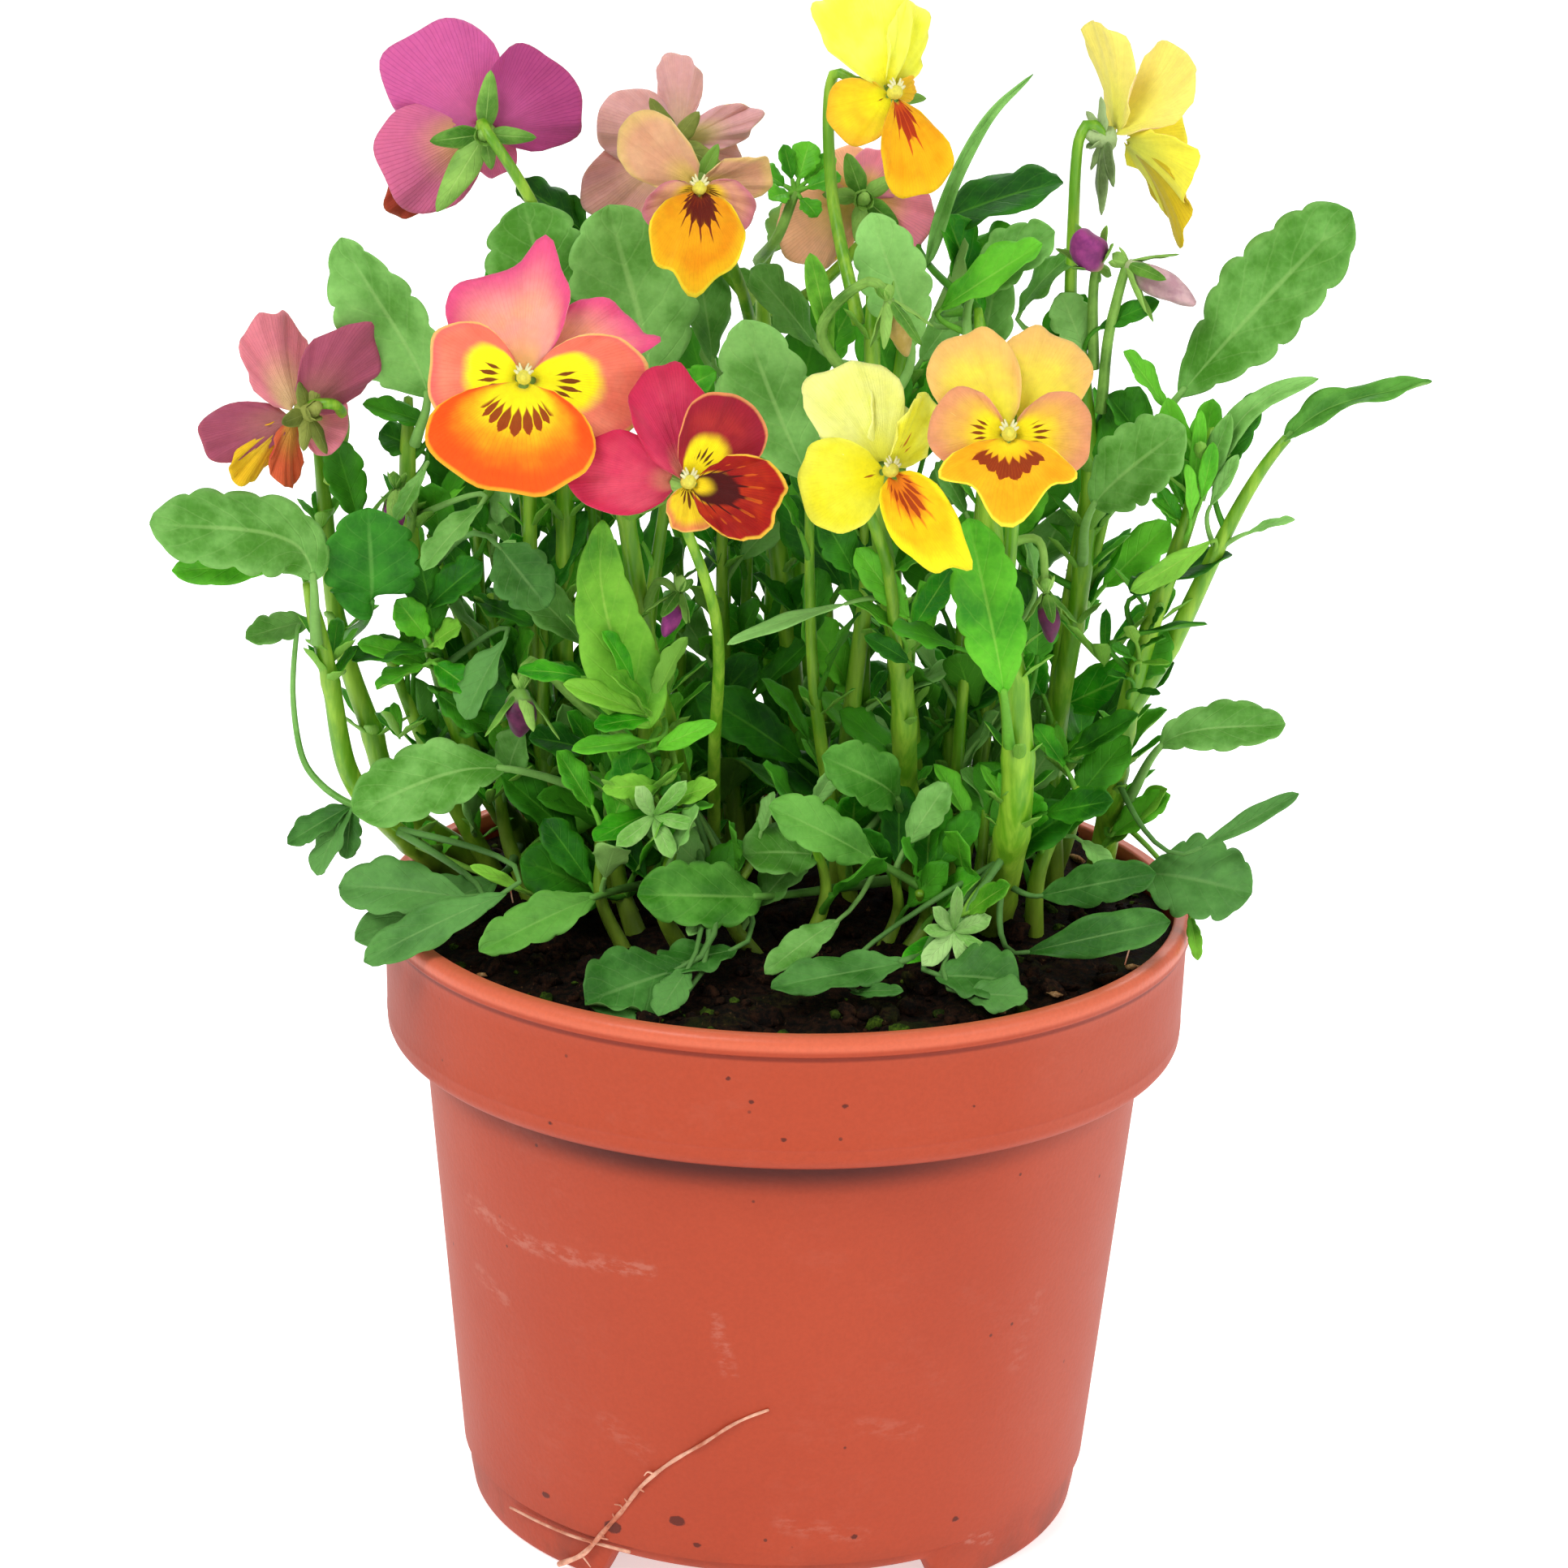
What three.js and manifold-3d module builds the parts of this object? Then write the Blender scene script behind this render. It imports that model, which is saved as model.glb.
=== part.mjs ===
// A potted pansy planter: a plastic nursery pot filled with soil, with a clump of small-flowered
// pansies growing in it.
//
// Millimetres, +Z up. The origin is on the pot's axis, on the surface that the pot stands on, and
// the planter's front faces -Y. Every organ of the plant is one closed loft, from its foot to its
// tip: stems, leaves on their petioles, flower stalks, corollas and buds.
import * as THREE from 'three';
import Module from 'manifold-3d';
import { mergeVertices } from 'three/addons/utils/BufferGeometryUtils.js';

const wasm = await Module();
wasm.setup();

// ---- Driving dimensions ------------------------------------------------------------------------

const CLEARANCE = 0.3; // kept between pieces that touch

const POT_HEIGHT = 102;
const RIM_RADIUS = 65;
const BAND_HEIGHT = 22; // the tall collar under the lip
const BAND_BOTTOM_RADIUS = 64;
const BAND_ROUND = 2.2; // radius of the band's lower edge
const LIP_HEIGHT = 3.2;
const LIP_WIDTH = 2.8;
const LIP_OVERHANG = 0.6;
const LIP_ROUND = 1.4; // radius of the lip's outer edge
const LIP_EDGE_ROUND = 0.5; // radius of the lip's lower and inner edges
const WALL_TOP_RADIUS = 58.2;
const WALL_BOTTOM_RADIUS = 50.6;
const WALL_THICKNESS = 1.3;
const FOOT_HEIGHT = 8;
const FOOT_RADIUS = 49.8;
const FOOT_RING_WIDTH = 3;
const FOOT_ROUND = 1.2;
const FOOT_RECESS = 0.3; // how far the foot stands back from the wall
const FEET = 3;
const NOTCH_HALF_ANGLE = THREE.MathUtils.degToRad(33.5);
const NOTCH_SLOPE_ANGLE = THREE.MathUtils.degToRad(4);
const NOTCH_TOP = 5.9;
const FLOOR_THICKNESS = 1.6;
const FLOOR_ROUND = 2; // the bevel between the floor and the wall, inside
const POT_SEGMENTS = 60;

const DRAIN_HOLES = 4;
const DRAIN_HOLE_RADIUS = 4;
const DRAIN_HOLE_SEGMENTS = 16;
const DRAIN_CIRCLE_RADIUS = 34;

const SOIL_EDGE_Z = 97;
const SOIL_MOUND = 2.5; // how much higher the soil is in the middle
const SOIL_BOTTOM_Z = FOOT_HEIGHT + FLOOR_THICKNESS + CLEARANCE;
const SOIL_SEGMENTS = 36;
const SOIL_TOP_SHARES = [1, 0.86, 0.7, 0.52, 0.32, 0.14]; // rings of the soil's top, by radius
const CLOD = { angle: THREE.MathUtils.degToRad(38), radius: 52, height: 6, spread: 11 };

const STEM_SIDES = 8;
const STEM_STEPS = 13;
const SOCKET_STEPS = 7;
const STALK_SIDES = 6;
const STALK_STEPS = 15;
const STALK_RADIUS = 1;
const BUD_STALK_RADIUS = 0.8;
const CALYX_RADIUS = 2.1;
const CALYX_LENGTH = 4.5;
const NECK_LENGTH = 7; // from the top of a stalk's hook to the flower

const PETIOLE_RADIUS = 0.8;
const LEAF_THICKNESS = 1.1;
const LEAF_FOLD = 0.22; // how far each half of a blade rises, over its width
const LEAF_STEPS = 12;
const BLUNT_TIP = 0.97; // a blade's outline ends at this share of its length

const COROLLA_SIDES = 20; // four points to each of the five petals
const COROLLA_THICKNESS = 1.2;
const COROLLA_CUP = 0.22;

// ---- Where the plant's pieces grow ---------------------------------------------------------------

// Each stem's path from below the soil to the tip of its shoot, and its radius at both ends.
const STEMS = {
  outer_left: {
    path: [[-46, 16, 84], [-53, 12, 98], [-62, -1, 110], [-69, -7, 122], [-73, -12, 142], [-75, -15, 156]],
    radius: [2.1, 1.2],
  },
  left: {
    path: [[-43, 22, 84], [-50, 19, 98], [-64, 6, 115], [-68, 5, 128], [-72, 5, 142], [-76, 6, 172]],
    radius: [2.2, 1.1],
  },
  middle_left: {
    path: [[-38, 29, 84], [-43, 27, 98], [-50, 9, 118], [-56, 3, 137], [-61, 4, 156], [-61, 5, 181]],
    radius: [2.3, 1.2],
  },
  back_left: {
    path: [[-29, 33, 84], [-32, 31, 98], [-36, 15, 125], [-37, 12, 152], [-37, 10, 178], [-35, 8, 198]],
    radius: [2.1, 1.1],
  },
  centre_left: {
    path: [[-12, 12, 84], [-14, 9, 98], [-18, -4, 122], [-21, -10, 138], [-25, -14, 161], [-29, -17, 182]],
    radius: [2.4, 1.2],
  },
  back_centre: {
    path: [[6, 39, 84], [4, 37, 98], [0, 27, 129], [-4, 24, 163], [-6, 22, 185], [-7, 20, 201]],
    radius: [2.1, 1.1],
  },
  centre: {
    path: [[20, 17, 84], [20, 14, 98], [18, -6, 127], [16, -12, 148], [12, -14, 176], [10, -8, 204]],
    radius: [2.4, 1.1],
  },
  centre_right: {
    path: [[31, -1, 84], [33, -6, 98], [35, -20, 124], [34, -22, 144], [30, -18, 168], [27, -6, 200]],
    radius: [3.2, 1.2],
  },
  right: {
    path: [[41, 32, 84], [43, 29, 98], [43, 12, 124], [45, 6, 153], [46, 4, 175], [44, 4, 192]],
    radius: [2.1, 1.1],
  },
  outer_right: {
    path: [[46, 19, 84], [50, 15, 98], [52, 0, 125], [56, -6, 150], [60, -7, 166], [64, -6, 182]],
    radius: [2.4, 1.1],
  },
};

// Each leaf grows from a stem at a height. It passes through the bend, where its blade starts, to its
// tip. blade is the blade's share of the leaf, widest is where on the blade it is widest, and face
// is the way its upper side looks.
const LEAVES = {
  tall_right: {
    stem: 'right', height: 170, bend: [57, 0, 183], tip: [83, -8, 217],
    width: 17, blade: 0.74, widest: 0.58, face: [-0.5, -0.8, 0.35],
  },
  broad_left: {
    stem: 'outer_left', height: 147, bend: [-76, -18, 162], tip: [-98, -26, 168],
    width: 14.5, blade: 0.72, widest: 0.42, face: [0, -0.75, 0.65],
  },
  round_left: {
    stem: 'left', height: 142, bend: [-66, -10, 151], tip: [-66, -14, 168],
    width: 15, blade: 0.5, widest: 0.5, face: [0.1, -0.95, 0.3],
  },
  folded_left: {
    stem: 'middle_left', height: 174, bend: [-58, -1, 184], tip: [-71, -4, 208],
    width: 15, blade: 0.76, widest: 0.45, face: [-0.3, -0.9, 0.1],
  },
  back_left: {
    stem: 'back_left', height: 182, bend: [-38, 1, 192], tip: [-43, -3, 214],
    width: 17, blade: 0.66, widest: 0.55, face: [0, -0.95, 0.3],
  },
  broad_middle: {
    stem: 'back_left', height: 170, bend: [-24, 3, 182], tip: [-30, -3, 214],
    width: 20, blade: 0.62, widest: 0.55, face: [0.1, -0.95, 0.25],
  },
  centre_top: {
    stem: 'centre', height: 186, bend: [17, -11, 193], tip: [10, -14, 216],
    width: 11, blade: 0.72, widest: 0.5, face: [0, -0.95, 0.3],
  },
  right_top: {
    stem: 'centre_right', height: 192, bend: [26, -6, 202], tip: [38, -9, 213],
    width: 10, blade: 0.62, widest: 0.5, face: [-0.3, -0.7, 0.6],
  },
  tall_centre: {
    stem: 'centre', height: 158, bend: [2, -10, 173], tip: [-9, -14, 199],
    width: 15, blade: 0.64, widest: 0.55, face: [-0.2, -0.95, 0.2],
  },
  dusky_right: {
    stem: 'right', height: 158, bend: [46, -6, 169], tip: [59, -13, 184],
    width: 13, blade: 0.62, widest: 0.55, face: [-0.4, -0.85, 0.35],
  },
  far_right: {
    stem: 'outer_right', height: 142, bend: [77, -8, 183], tip: [97, -8, 191],
    width: 6, blade: 0.34, widest: 0.4, face: [-0.2, -0.5, 0.85],
  },
  low_right: {
    stem: 'outer_right', height: 120, bend: [60, -10, 133], tip: [77, -14, 137],
    width: 8.5, blade: 0.6, widest: 0.5, face: [-0.1, -0.8, 0.6],
  },
  rim_right: {
    stem: 'outer_right', height: 102, bend: [57, -9, 110], tip: [73, -17, 110],
    width: 15, blade: 0.44, widest: 0.5, face: [-0.1, -0.75, 0.65],
  },
  low_left: {
    stem: 'centre_left', height: 115, bend: [-47, -19, 128], tip: [-67, -30, 124],
    width: 13, blade: 0.44, widest: 0.5, face: [-0.1, -0.8, 0.6],
  },
  rim_left: {
    stem: 'middle_left', height: 104, bend: [-47, -16, 108], tip: [-67, -27, 102],
    width: 9, blade: 0.42, widest: 0.5, face: [0.1, -0.75, 0.65],
  },
  front_left: {
    stem: 'centre_left', height: 104, bend: [-29, -20, 108], tip: [-47, -36, 104],
    width: 8, blade: 0.44, widest: 0.5, face: [0.1, -0.7, 0.7],
  },
  front_middle: {
    stem: 'centre', height: 103, bend: [-5, -22, 109], tip: [-23, -31, 112],
    width: 11.5, blade: 0.36, widest: 0.5, face: [0, -0.8, 0.6],
  },
  front_diagonal: {
    stem: 'centre_right', height: 102, bend: [14, -24, 116], tip: [-3, -34, 128],
    width: 9, blade: 0.46, widest: 0.5, face: [0.35, -0.75, 0.55],
  },
  small_centre: {
    stem: 'centre', height: 116, bend: [16, -14, 124], tip: [5, -24, 133],
    width: 10, blade: 0.62, widest: 0.5, face: [0, -0.85, 0.5],
  },
  soil_front: {
    stem: 'centre_right', height: 104, bend: [18, -36, 104], tip: [-2, -46, 103],
    width: 7.5, blade: 0.46, widest: 0.5, face: [0, -0.5, 0.85],
  },
  upright_right: {
    stem: 'centre_right', height: 136, bend: [32, -29, 147], tip: [26, -26, 172],
    width: 11, blade: 0.7, widest: 0.34, face: [0.1, -0.95, 0.25],
  },
};

// Each flower's stalk leaves a stem at a height and passes through the via points to the flower's
// throat. turn is the way the flower looks, in degrees round from the front towards +X, and nod is
// its angle above the horizontal.
const FLOWERS = {
  magenta: {
    stem: 'back_left', height: 193, via: [[-44, -1, 211]],
    throat: [-51, 5, 225], turn: 180, nod: 6, radius: 17,
  },
  dusky: {
    stem: 'back_centre', height: 195, via: [[-17, 7, 209]],
    throat: [-20, 14, 222], turn: 160, nod: 4, radius: 14.5,
  },
  peach: {
    stem: 'back_centre', height: 184, via: [[-10, 5, 201]],
    throat: [-16, -10, 214], turn: 5, nod: -12, radius: 13,
  },
  yellow: {
    stem: 'centre', height: 198, via: [[4, 2, 217]],
    throat: [9, -6, 234], turn: 38, nod: 4, radius: 16.5,
  },
  pale: {
    stem: 'right', height: 187, via: [[39, 3, 203]],
    throat: [48, 6, 226], turn: 118, nod: 0, radius: 16,
  },
  salmon: {
    stem: 'back_centre', height: 193, via: [[2, 14, 198]],
    throat: [8, 18, 206], turn: 190, nod: 0, radius: 12.5,
  },
  rose: {
    stem: 'centre_left', height: 170, via: [[-36, -17, 182]],
    throat: [-39, -34, 194], turn: -5, nod: 10, radius: 20.5,
  },
  crimson: {
    stem: 'centre_left', height: 106, via: [[-12, -10, 128], [-12, -24, 155]],
    throat: [-16, -41, 180], turn: 28, nod: 4, radius: 16,
  },
  lemon: {
    stem: 'centre', height: 148, via: [[14, -20, 163]],
    throat: [13, -33, 179], turn: 36, nod: 0, radius: 15.5,
  },
  apricot: {
    stem: 'centre_right', height: 162, via: [[33, -24, 178]],
    throat: [32, -40, 191], turn: 0, nod: 6, radius: 14.5,
  },
  mauve: {
    stem: 'left', height: 167, via: [[-71, 0, 177]],
    throat: [-79, -6, 181], turn: -120, nod: -10, radius: 14,
  },
};

// Buds nod at the end of their own stalks: via points, the top of the hook and the bud's tip.
const BUDS = {
  purple: {
    stem: 'right', height: 189, via: [[45, 0, 203]],
    crest: [47, -2, 214], tip: [42, -5, 208], length: 10, radius: 2.4,
  },
  pink: {
    stem: 'right', height: 182, via: [[48, -1, 198]],
    crest: [52, -5, 211], tip: [60, -8, 202], length: 12, radius: 2.3,
  },
  low: {
    stem: 'centre_left', height: 127, via: [[-33, -13, 137]],
    crest: [-41, -17, 145], tip: [-42, -21, 134], length: 9, radius: 2.4,
  },
  spent: {
    stem: 'centre', height: 188, via: [[3, -15, 198]],
    crest: [11, -21, 207], tip: [16, -22, 196], length: 10, radius: 1.6,
  },
};

// The root that has grown out under the pot: angle round the pot from the front, in degrees, and
// height on the wall.
const ROOT_COURSE = [
  [-41, 0.9],
  [-34.5, 5.5],
  [-30.5, 9.7],
  [-27.6, 13.6],
  [-23.8, 19.0],
  [-18.9, 23.6],
  [-14.3, 27.9],
  [-10, 31.1],
  [-6.3, 33.5],
  [-0.8, 36.6],
];
const ROOT_RADIUS = 0.45;
const ROOT_SIDES = 6;
const ROOT_STEPS = 26;

// ---- Colours and finishes ------------------------------------------------------------------------

const FINISHES = {
  terracotta_plastic: { color: 0xcc5f47, roughness: 0.48, metalness: 0 },
  soil: { color: 0x1c0d08, roughness: 1, metalness: 0 },
  root: { color: 0xd9b48c, roughness: 0.8, metalness: 0 },
  stem: { color: 0x84b338, roughness: 0.55, metalness: 0 },
  leaf: { color: 0x4f9a45, roughness: 0.6, metalness: 0 },
};

const PETAL_COLOURS = {
  magenta: 0xb8459c,
  dusky: 0xd89aa0,
  peach: 0xf2b377,
  yellow: 0xffe41c,
  pale: 0xf3e172,
  salmon: 0xe58e7e,
  rose: 0xe8605c,
  crimson: 0xa81c3c,
  lemon: 0xf6ee6a,
  apricot: 0xf8c860,
  mauve: 0xb86a80,
};

const BUD_COLOURS = { purple: 0x8a3a86, pink: 0xb98a98, low: 0x6a2a78, spent: 0x86907a };

function material(name, finish) {
  return new THREE.MeshStandardMaterial({ name, ...finish });
}

// ---- Small helpers -------------------------------------------------------------------------------

const UP = new THREE.Vector3(0, 0, 1);
const DEGREE = Math.PI / 180;

function vector(coordinates) {
  return new THREE.Vector3(...coordinates);
}

function vectors(list) {
  return list.map(vector);
}

function polar(radius, angle, z) {
  return new THREE.Vector3(radius * Math.cos(angle), radius * Math.sin(angle), z);
}

function mean(points) {
  const sum = new THREE.Vector3();
  for (const point of points) sum.add(point);
  return sum.divideScalar(points.length);
}

// A closed body through rings of equal length. Each ring runs anticlockwise seen from the last
// ring's end, and both ends are closed with a fan round a centre point.
function loft(rings, footCentre = mean(rings[0]), tipCentre = mean(rings.at(-1))) {
  const sides = rings[0].length;
  const points = [...rings.flat(), footCentre, tipCentre];
  const foot = points.length - 2;
  const tip = points.length - 1;
  const lastRing = (rings.length - 1) * sides;
  const triangles = [];
  for (let i = 0; i < sides; i += 1) {
    const next = (i + 1) % sides;
    triangles.push(foot, next, i);
    triangles.push(tip, lastRing + i, lastRing + next);
    for (let ring = 0; ring < lastRing; ring += sides) {
      triangles.push(ring + i, ring + next, ring + sides + i);
      triangles.push(ring + next, ring + sides + next, ring + sides + i);
    }
  }
  const geometry = new THREE.BufferGeometry().setFromPoints(points);
  geometry.setIndex(triangles);
  return geometry;
}

// A round rod along a curve, with its radius given along the way.
function rod(curve, steps, sides, radiusAt) {
  const frames = curve.computeFrenetFrames(steps, false);
  const rings = [];
  for (let step = 0; step <= steps; step += 1) {
    const share = step / steps;
    const centre = curve.getPointAt(share);
    const radius = radiusAt(share);
    const ring = [];
    for (let side = 0; side < sides; side += 1) {
      const angle = (2 * Math.PI * side) / sides;
      const point = centre.clone();
      point.addScaledVector(frames.normals[step], radius * Math.cos(angle));
      point.addScaledVector(frames.binormals[step], radius * Math.sin(angle));
      ring.push(point);
    }
    rings.push(ring);
  }
  return loft(rings);
}

function smoothCurve(points) {
  return new THREE.CatmullRomCurve3(points, false, 'centripetal');
}

function solid(geometry) {
  const bare = geometry.clone();
  bare.deleteAttribute('normal');
  bare.deleteAttribute('uv');
  const merged = mergeVertices(bare, 1e-4);
  return new wasm.Manifold(
    new wasm.Mesh({
      numProp: 3,
      vertProperties: new Float32Array(merged.attributes.position.array),
      triVerts: new Uint32Array(merged.index.array),
    }),
  );
}

function geometryOf(body) {
  const mesh = body.getMesh();
  const geometry = new THREE.BufferGeometry();
  geometry.setAttribute('position', new THREE.BufferAttribute(mesh.vertProperties, 3));
  geometry.setIndex(new THREE.BufferAttribute(mesh.triVerts, 1));
  return geometry;
}

const planter = new THREE.Group();

function add(name, geometry, finish) {
  geometry.computeVertexNormals();
  const mesh = new THREE.Mesh(geometry, finish);
  mesh.name = name;
  planter.add(mesh);
}

// ---- The pot -------------------------------------------------------------------------------------

const BAND_BOTTOM_Z = POT_HEIGHT - BAND_HEIGHT;
const LIP_BOTTOM_Z = POT_HEIGHT - LIP_HEIGHT;

// The outer radius of the wall, from the foot line up to the band.
function wallRadius(z) {
  const share = (z - FOOT_HEIGHT) / (BAND_BOTTOM_Z - FOOT_HEIGHT);
  return THREE.MathUtils.lerp(WALL_BOTTOM_RADIUS, WALL_TOP_RADIUS, share);
}

// The outer radius of the band, from the ledge up to the lip.
function bandRadius(z) {
  const share = (z - BAND_BOTTOM_Z) / (LIP_BOTTOM_Z - BAND_BOTTOM_Z);
  return THREE.MathUtils.lerp(BAND_BOTTOM_RADIUS, RIM_RADIUS - LIP_OVERHANG, share);
}

// An arc of the pot's section, as radius and height pairs.
function arc(centreRadius, centreZ, radius, fromDegrees, toDegrees, steps) {
  const points = [];
  for (let step = 0; step <= steps; step += 1) {
    const angle = THREE.MathUtils.lerp(fromDegrees, toDegrees, step / steps) * DEGREE;
    points.push([centreRadius + radius * Math.cos(angle), centreZ + radius * Math.sin(angle)]);
  }
  return points;
}

// How high the foot ring's lower edge is at an angle: on the ground at the feet, and lifted in the
// notches between them, one of which faces the front.
function footEdge(angle) {
  const pitch = (2 * Math.PI) / FEET;
  const fromFront = angle + Math.PI / 2;
  const fromNotch = Math.abs(THREE.MathUtils.euclideanModulo(fromFront + pitch / 2, pitch) - pitch / 2);
  const share = (NOTCH_HALF_ANGLE - fromNotch) / NOTCH_SLOPE_ANGLE;
  return NOTCH_TOP * THREE.MathUtils.smoothstep(share, 0, 1);
}

// The pot's section, from the foot ring's inner edge round the outside and back down the inside.
function potProfile() {
  const footInner = FOOT_RADIUS - FOOT_RING_WIDTH;
  const footTop = WALL_BOTTOM_RADIUS - FOOT_RECESS;
  const ledge = wallRadius(BAND_BOTTOM_Z);
  const bandEdgeZ = BAND_BOTTOM_Z + BAND_ROUND;
  const lipEdge = RIM_RADIUS - LIP_EDGE_ROUND;
  const lipEdgeZ = LIP_BOTTOM_Z + LIP_EDGE_ROUND;
  const lipInner = RIM_RADIUS - LIP_WIDTH;
  const floorZ = FOOT_HEIGHT + FLOOR_THICKNESS;
  const floorEdge = wallRadius(floorZ) - WALL_THICKNESS;
  return [
    [footInner, FOOT_HEIGHT],
    [footInner, 0],
    [FOOT_RADIUS - FOOT_ROUND, 0],
    [FOOT_RADIUS, FOOT_ROUND],
    [footTop, FOOT_HEIGHT / 2],
    [footTop + FOOT_RECESS / 2, FOOT_HEIGHT],
    [wallRadius(FOOT_HEIGHT + FOOT_RECESS), FOOT_HEIGHT + FOOT_RECESS],
    [wallRadius(FOOT_HEIGHT * 5), FOOT_HEIGHT * 5],
    [ledge, BAND_BOTTOM_Z],
    ...arc(bandRadius(bandEdgeZ) - BAND_ROUND, bandEdgeZ, BAND_ROUND, -90, 0, 3),
    [bandRadius(LIP_BOTTOM_Z), LIP_BOTTOM_Z],
    ...arc(lipEdge, lipEdgeZ, LIP_EDGE_ROUND, -60, 0, 1),
    ...arc(RIM_RADIUS - LIP_ROUND, POT_HEIGHT - LIP_ROUND, LIP_ROUND, 0, 90, 3),
    ...arc(lipInner + LIP_EDGE_ROUND, POT_HEIGHT - LIP_EDGE_ROUND, LIP_EDGE_ROUND, 90, 180, 1),
    [bandRadius(LIP_BOTTOM_Z) - WALL_THICKNESS, LIP_BOTTOM_Z - WALL_THICKNESS],
    [bandRadius(bandEdgeZ) - WALL_THICKNESS, bandEdgeZ + WALL_THICKNESS / 2],
    [ledge - WALL_THICKNESS, BAND_BOTTOM_Z + WALL_THICKNESS],
    [floorEdge, floorZ + FLOOR_ROUND],
    [floorEdge - FLOOR_ROUND, floorZ],
  ];
}

function potRings() {
  return potProfile().map(([radius, z]) => {
    const ring = [];
    for (let segment = 0; segment < POT_SEGMENTS; segment += 1) {
      const angle = (2 * Math.PI * segment) / POT_SEGMENTS;
      const lift = z < FOOT_HEIGHT ? footEdge(angle) * (1 - z / FOOT_HEIGHT) : 0;
      ring.push(polar(radius, angle, z + lift));
    }
    return ring;
  });
}

// Round holes through the floor drain the pot.
function drainHole(index) {
  const angle = (2 * Math.PI * (index + 0.5)) / DRAIN_HOLES;
  const length = FLOOR_THICKNESS * 3;
  const radius = DRAIN_HOLE_RADIUS;
  const hole = new THREE.CylinderGeometry(radius, radius, length, DRAIN_HOLE_SEGMENTS);
  hole.rotateX(Math.PI / 2);
  const centre = polar(DRAIN_CIRCLE_RADIUS, angle, FOOT_HEIGHT + FLOOR_THICKNESS / 2);
  hole.translate(centre.x, centre.y, centre.z);
  return hole;
}

function potGeometry() {
  let body = solid(loft(potRings()));
  for (let hole = 0; hole < DRAIN_HOLES; hole += 1) {
    body = body.subtract(solid(drainHole(hole)));
  }
  return geometryOf(body);
}

// ---- The plant -----------------------------------------------------------------------------------

const stemCurves = {};
for (const [name, stem] of Object.entries(STEMS)) {
  stemCurves[name] = smoothCurve(vectors(stem.path));
}

function stemRadius(name, share) {
  const [footRadius, tipRadius] = STEMS[name].radius;
  return THREE.MathUtils.lerp(footRadius, tipRadius, share);
}

// A stem's tip is rounded off by a narrower last ring.
function stemGeometry(name) {
  return rod(stemCurves[name], STEM_STEPS, STEM_SIDES, (share) => {
    const tipRound = share === 1 ? 0.6 : 1;
    return stemRadius(name, share) * tipRound;
  });
}

// How far along its centre line a stem reaches a height. Every stem only climbs.
function stemShareAt(name, z) {
  let low = 0;
  let high = 1;
  for (let halving = 0; halving < 24; halving += 1) {
    const middle = (low + high) / 2;
    if (stemCurves[name].getPointAt(middle).z < z) low = middle;
    else high = middle;
  }
  return low;
}

// Where a stalk or petiole of some radius starts: beside its stem, on the side it heads for.
function branchPoint(name, z, towards, radius) {
  const share = stemShareAt(name, z);
  const centre = stemCurves[name].getPointAt(share);
  const along = stemCurves[name].getTangentAt(share);
  const away = towards.clone().sub(centre);
  away.addScaledVector(along, -away.dot(along)).normalize();
  return centre.addScaledVector(away, stemRadius(name, share) + radius + CLEARANCE * 1.5);
}

// The width of a blade along its length, from 0 at its foot to 1 where it is widest.
function bladeProfile(share, widest) {
  const skew = Math.log(0.5) / Math.log(widest);
  return Math.sin(Math.PI * share ** skew) ** 0.75;
}

function leafGeometry({ stem, height, bend, tip, width, blade, widest, face }) {
  const bendPoint = vector(bend);
  const foot = branchPoint(stem, height, bendPoint, PETIOLE_RADIUS);
  const curve = smoothCurve([foot, bendPoint, vector(tip)]);
  const facing = vector(face).normalize();
  const rings = [];
  for (let step = 0; step <= LEAF_STEPS; step += 1) {
    const share = step / LEAF_STEPS;
    const along = curve.getTangentAt(share);
    const across = facing.clone().cross(along).normalize();
    const above = along.clone().cross(across);
    const bladeShare = Math.max(0, (share - (1 - blade)) / blade);
    const outline = bladeProfile(Math.min(bladeShare, BLUNT_TIP), widest);
    const halfWidth = Math.max(PETIOLE_RADIUS, (width / 2) * outline);
    const rise = bladeShare > 0 ? LEAF_FOLD * halfWidth : 0;
    const halfThickness = bladeShare > 0 ? LEAF_THICKNESS / 2 : PETIOLE_RADIUS;
    const centre = curve.getPointAt(share);
    rings.push([
      centre.clone().addScaledVector(across, halfWidth).addScaledVector(above, rise),
      centre.clone().addScaledVector(above, halfThickness),
      centre.clone().addScaledVector(across, -halfWidth).addScaledVector(above, rise),
      centre.clone().addScaledVector(above, -halfThickness),
    ]);
  }
  return loft(rings);
}

// The way a flower looks.
function flowerFacing({ turn, nod }) {
  const around = turn * DEGREE;
  const above = nod * DEGREE;
  return new THREE.Vector3(
    Math.sin(around) * Math.cos(above),
    -Math.cos(around) * Math.cos(above),
    Math.sin(above),
  );
}

// A five-lobed outline, as a share of the flower's radius: two petals up, two sideways, one down.
function corollaOutline(angleFromTop) {
  return 0.86 + 0.06 * Math.cos(angleFromTop) - 0.08 * Math.cos(5 * angleFromTop);
}

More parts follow.
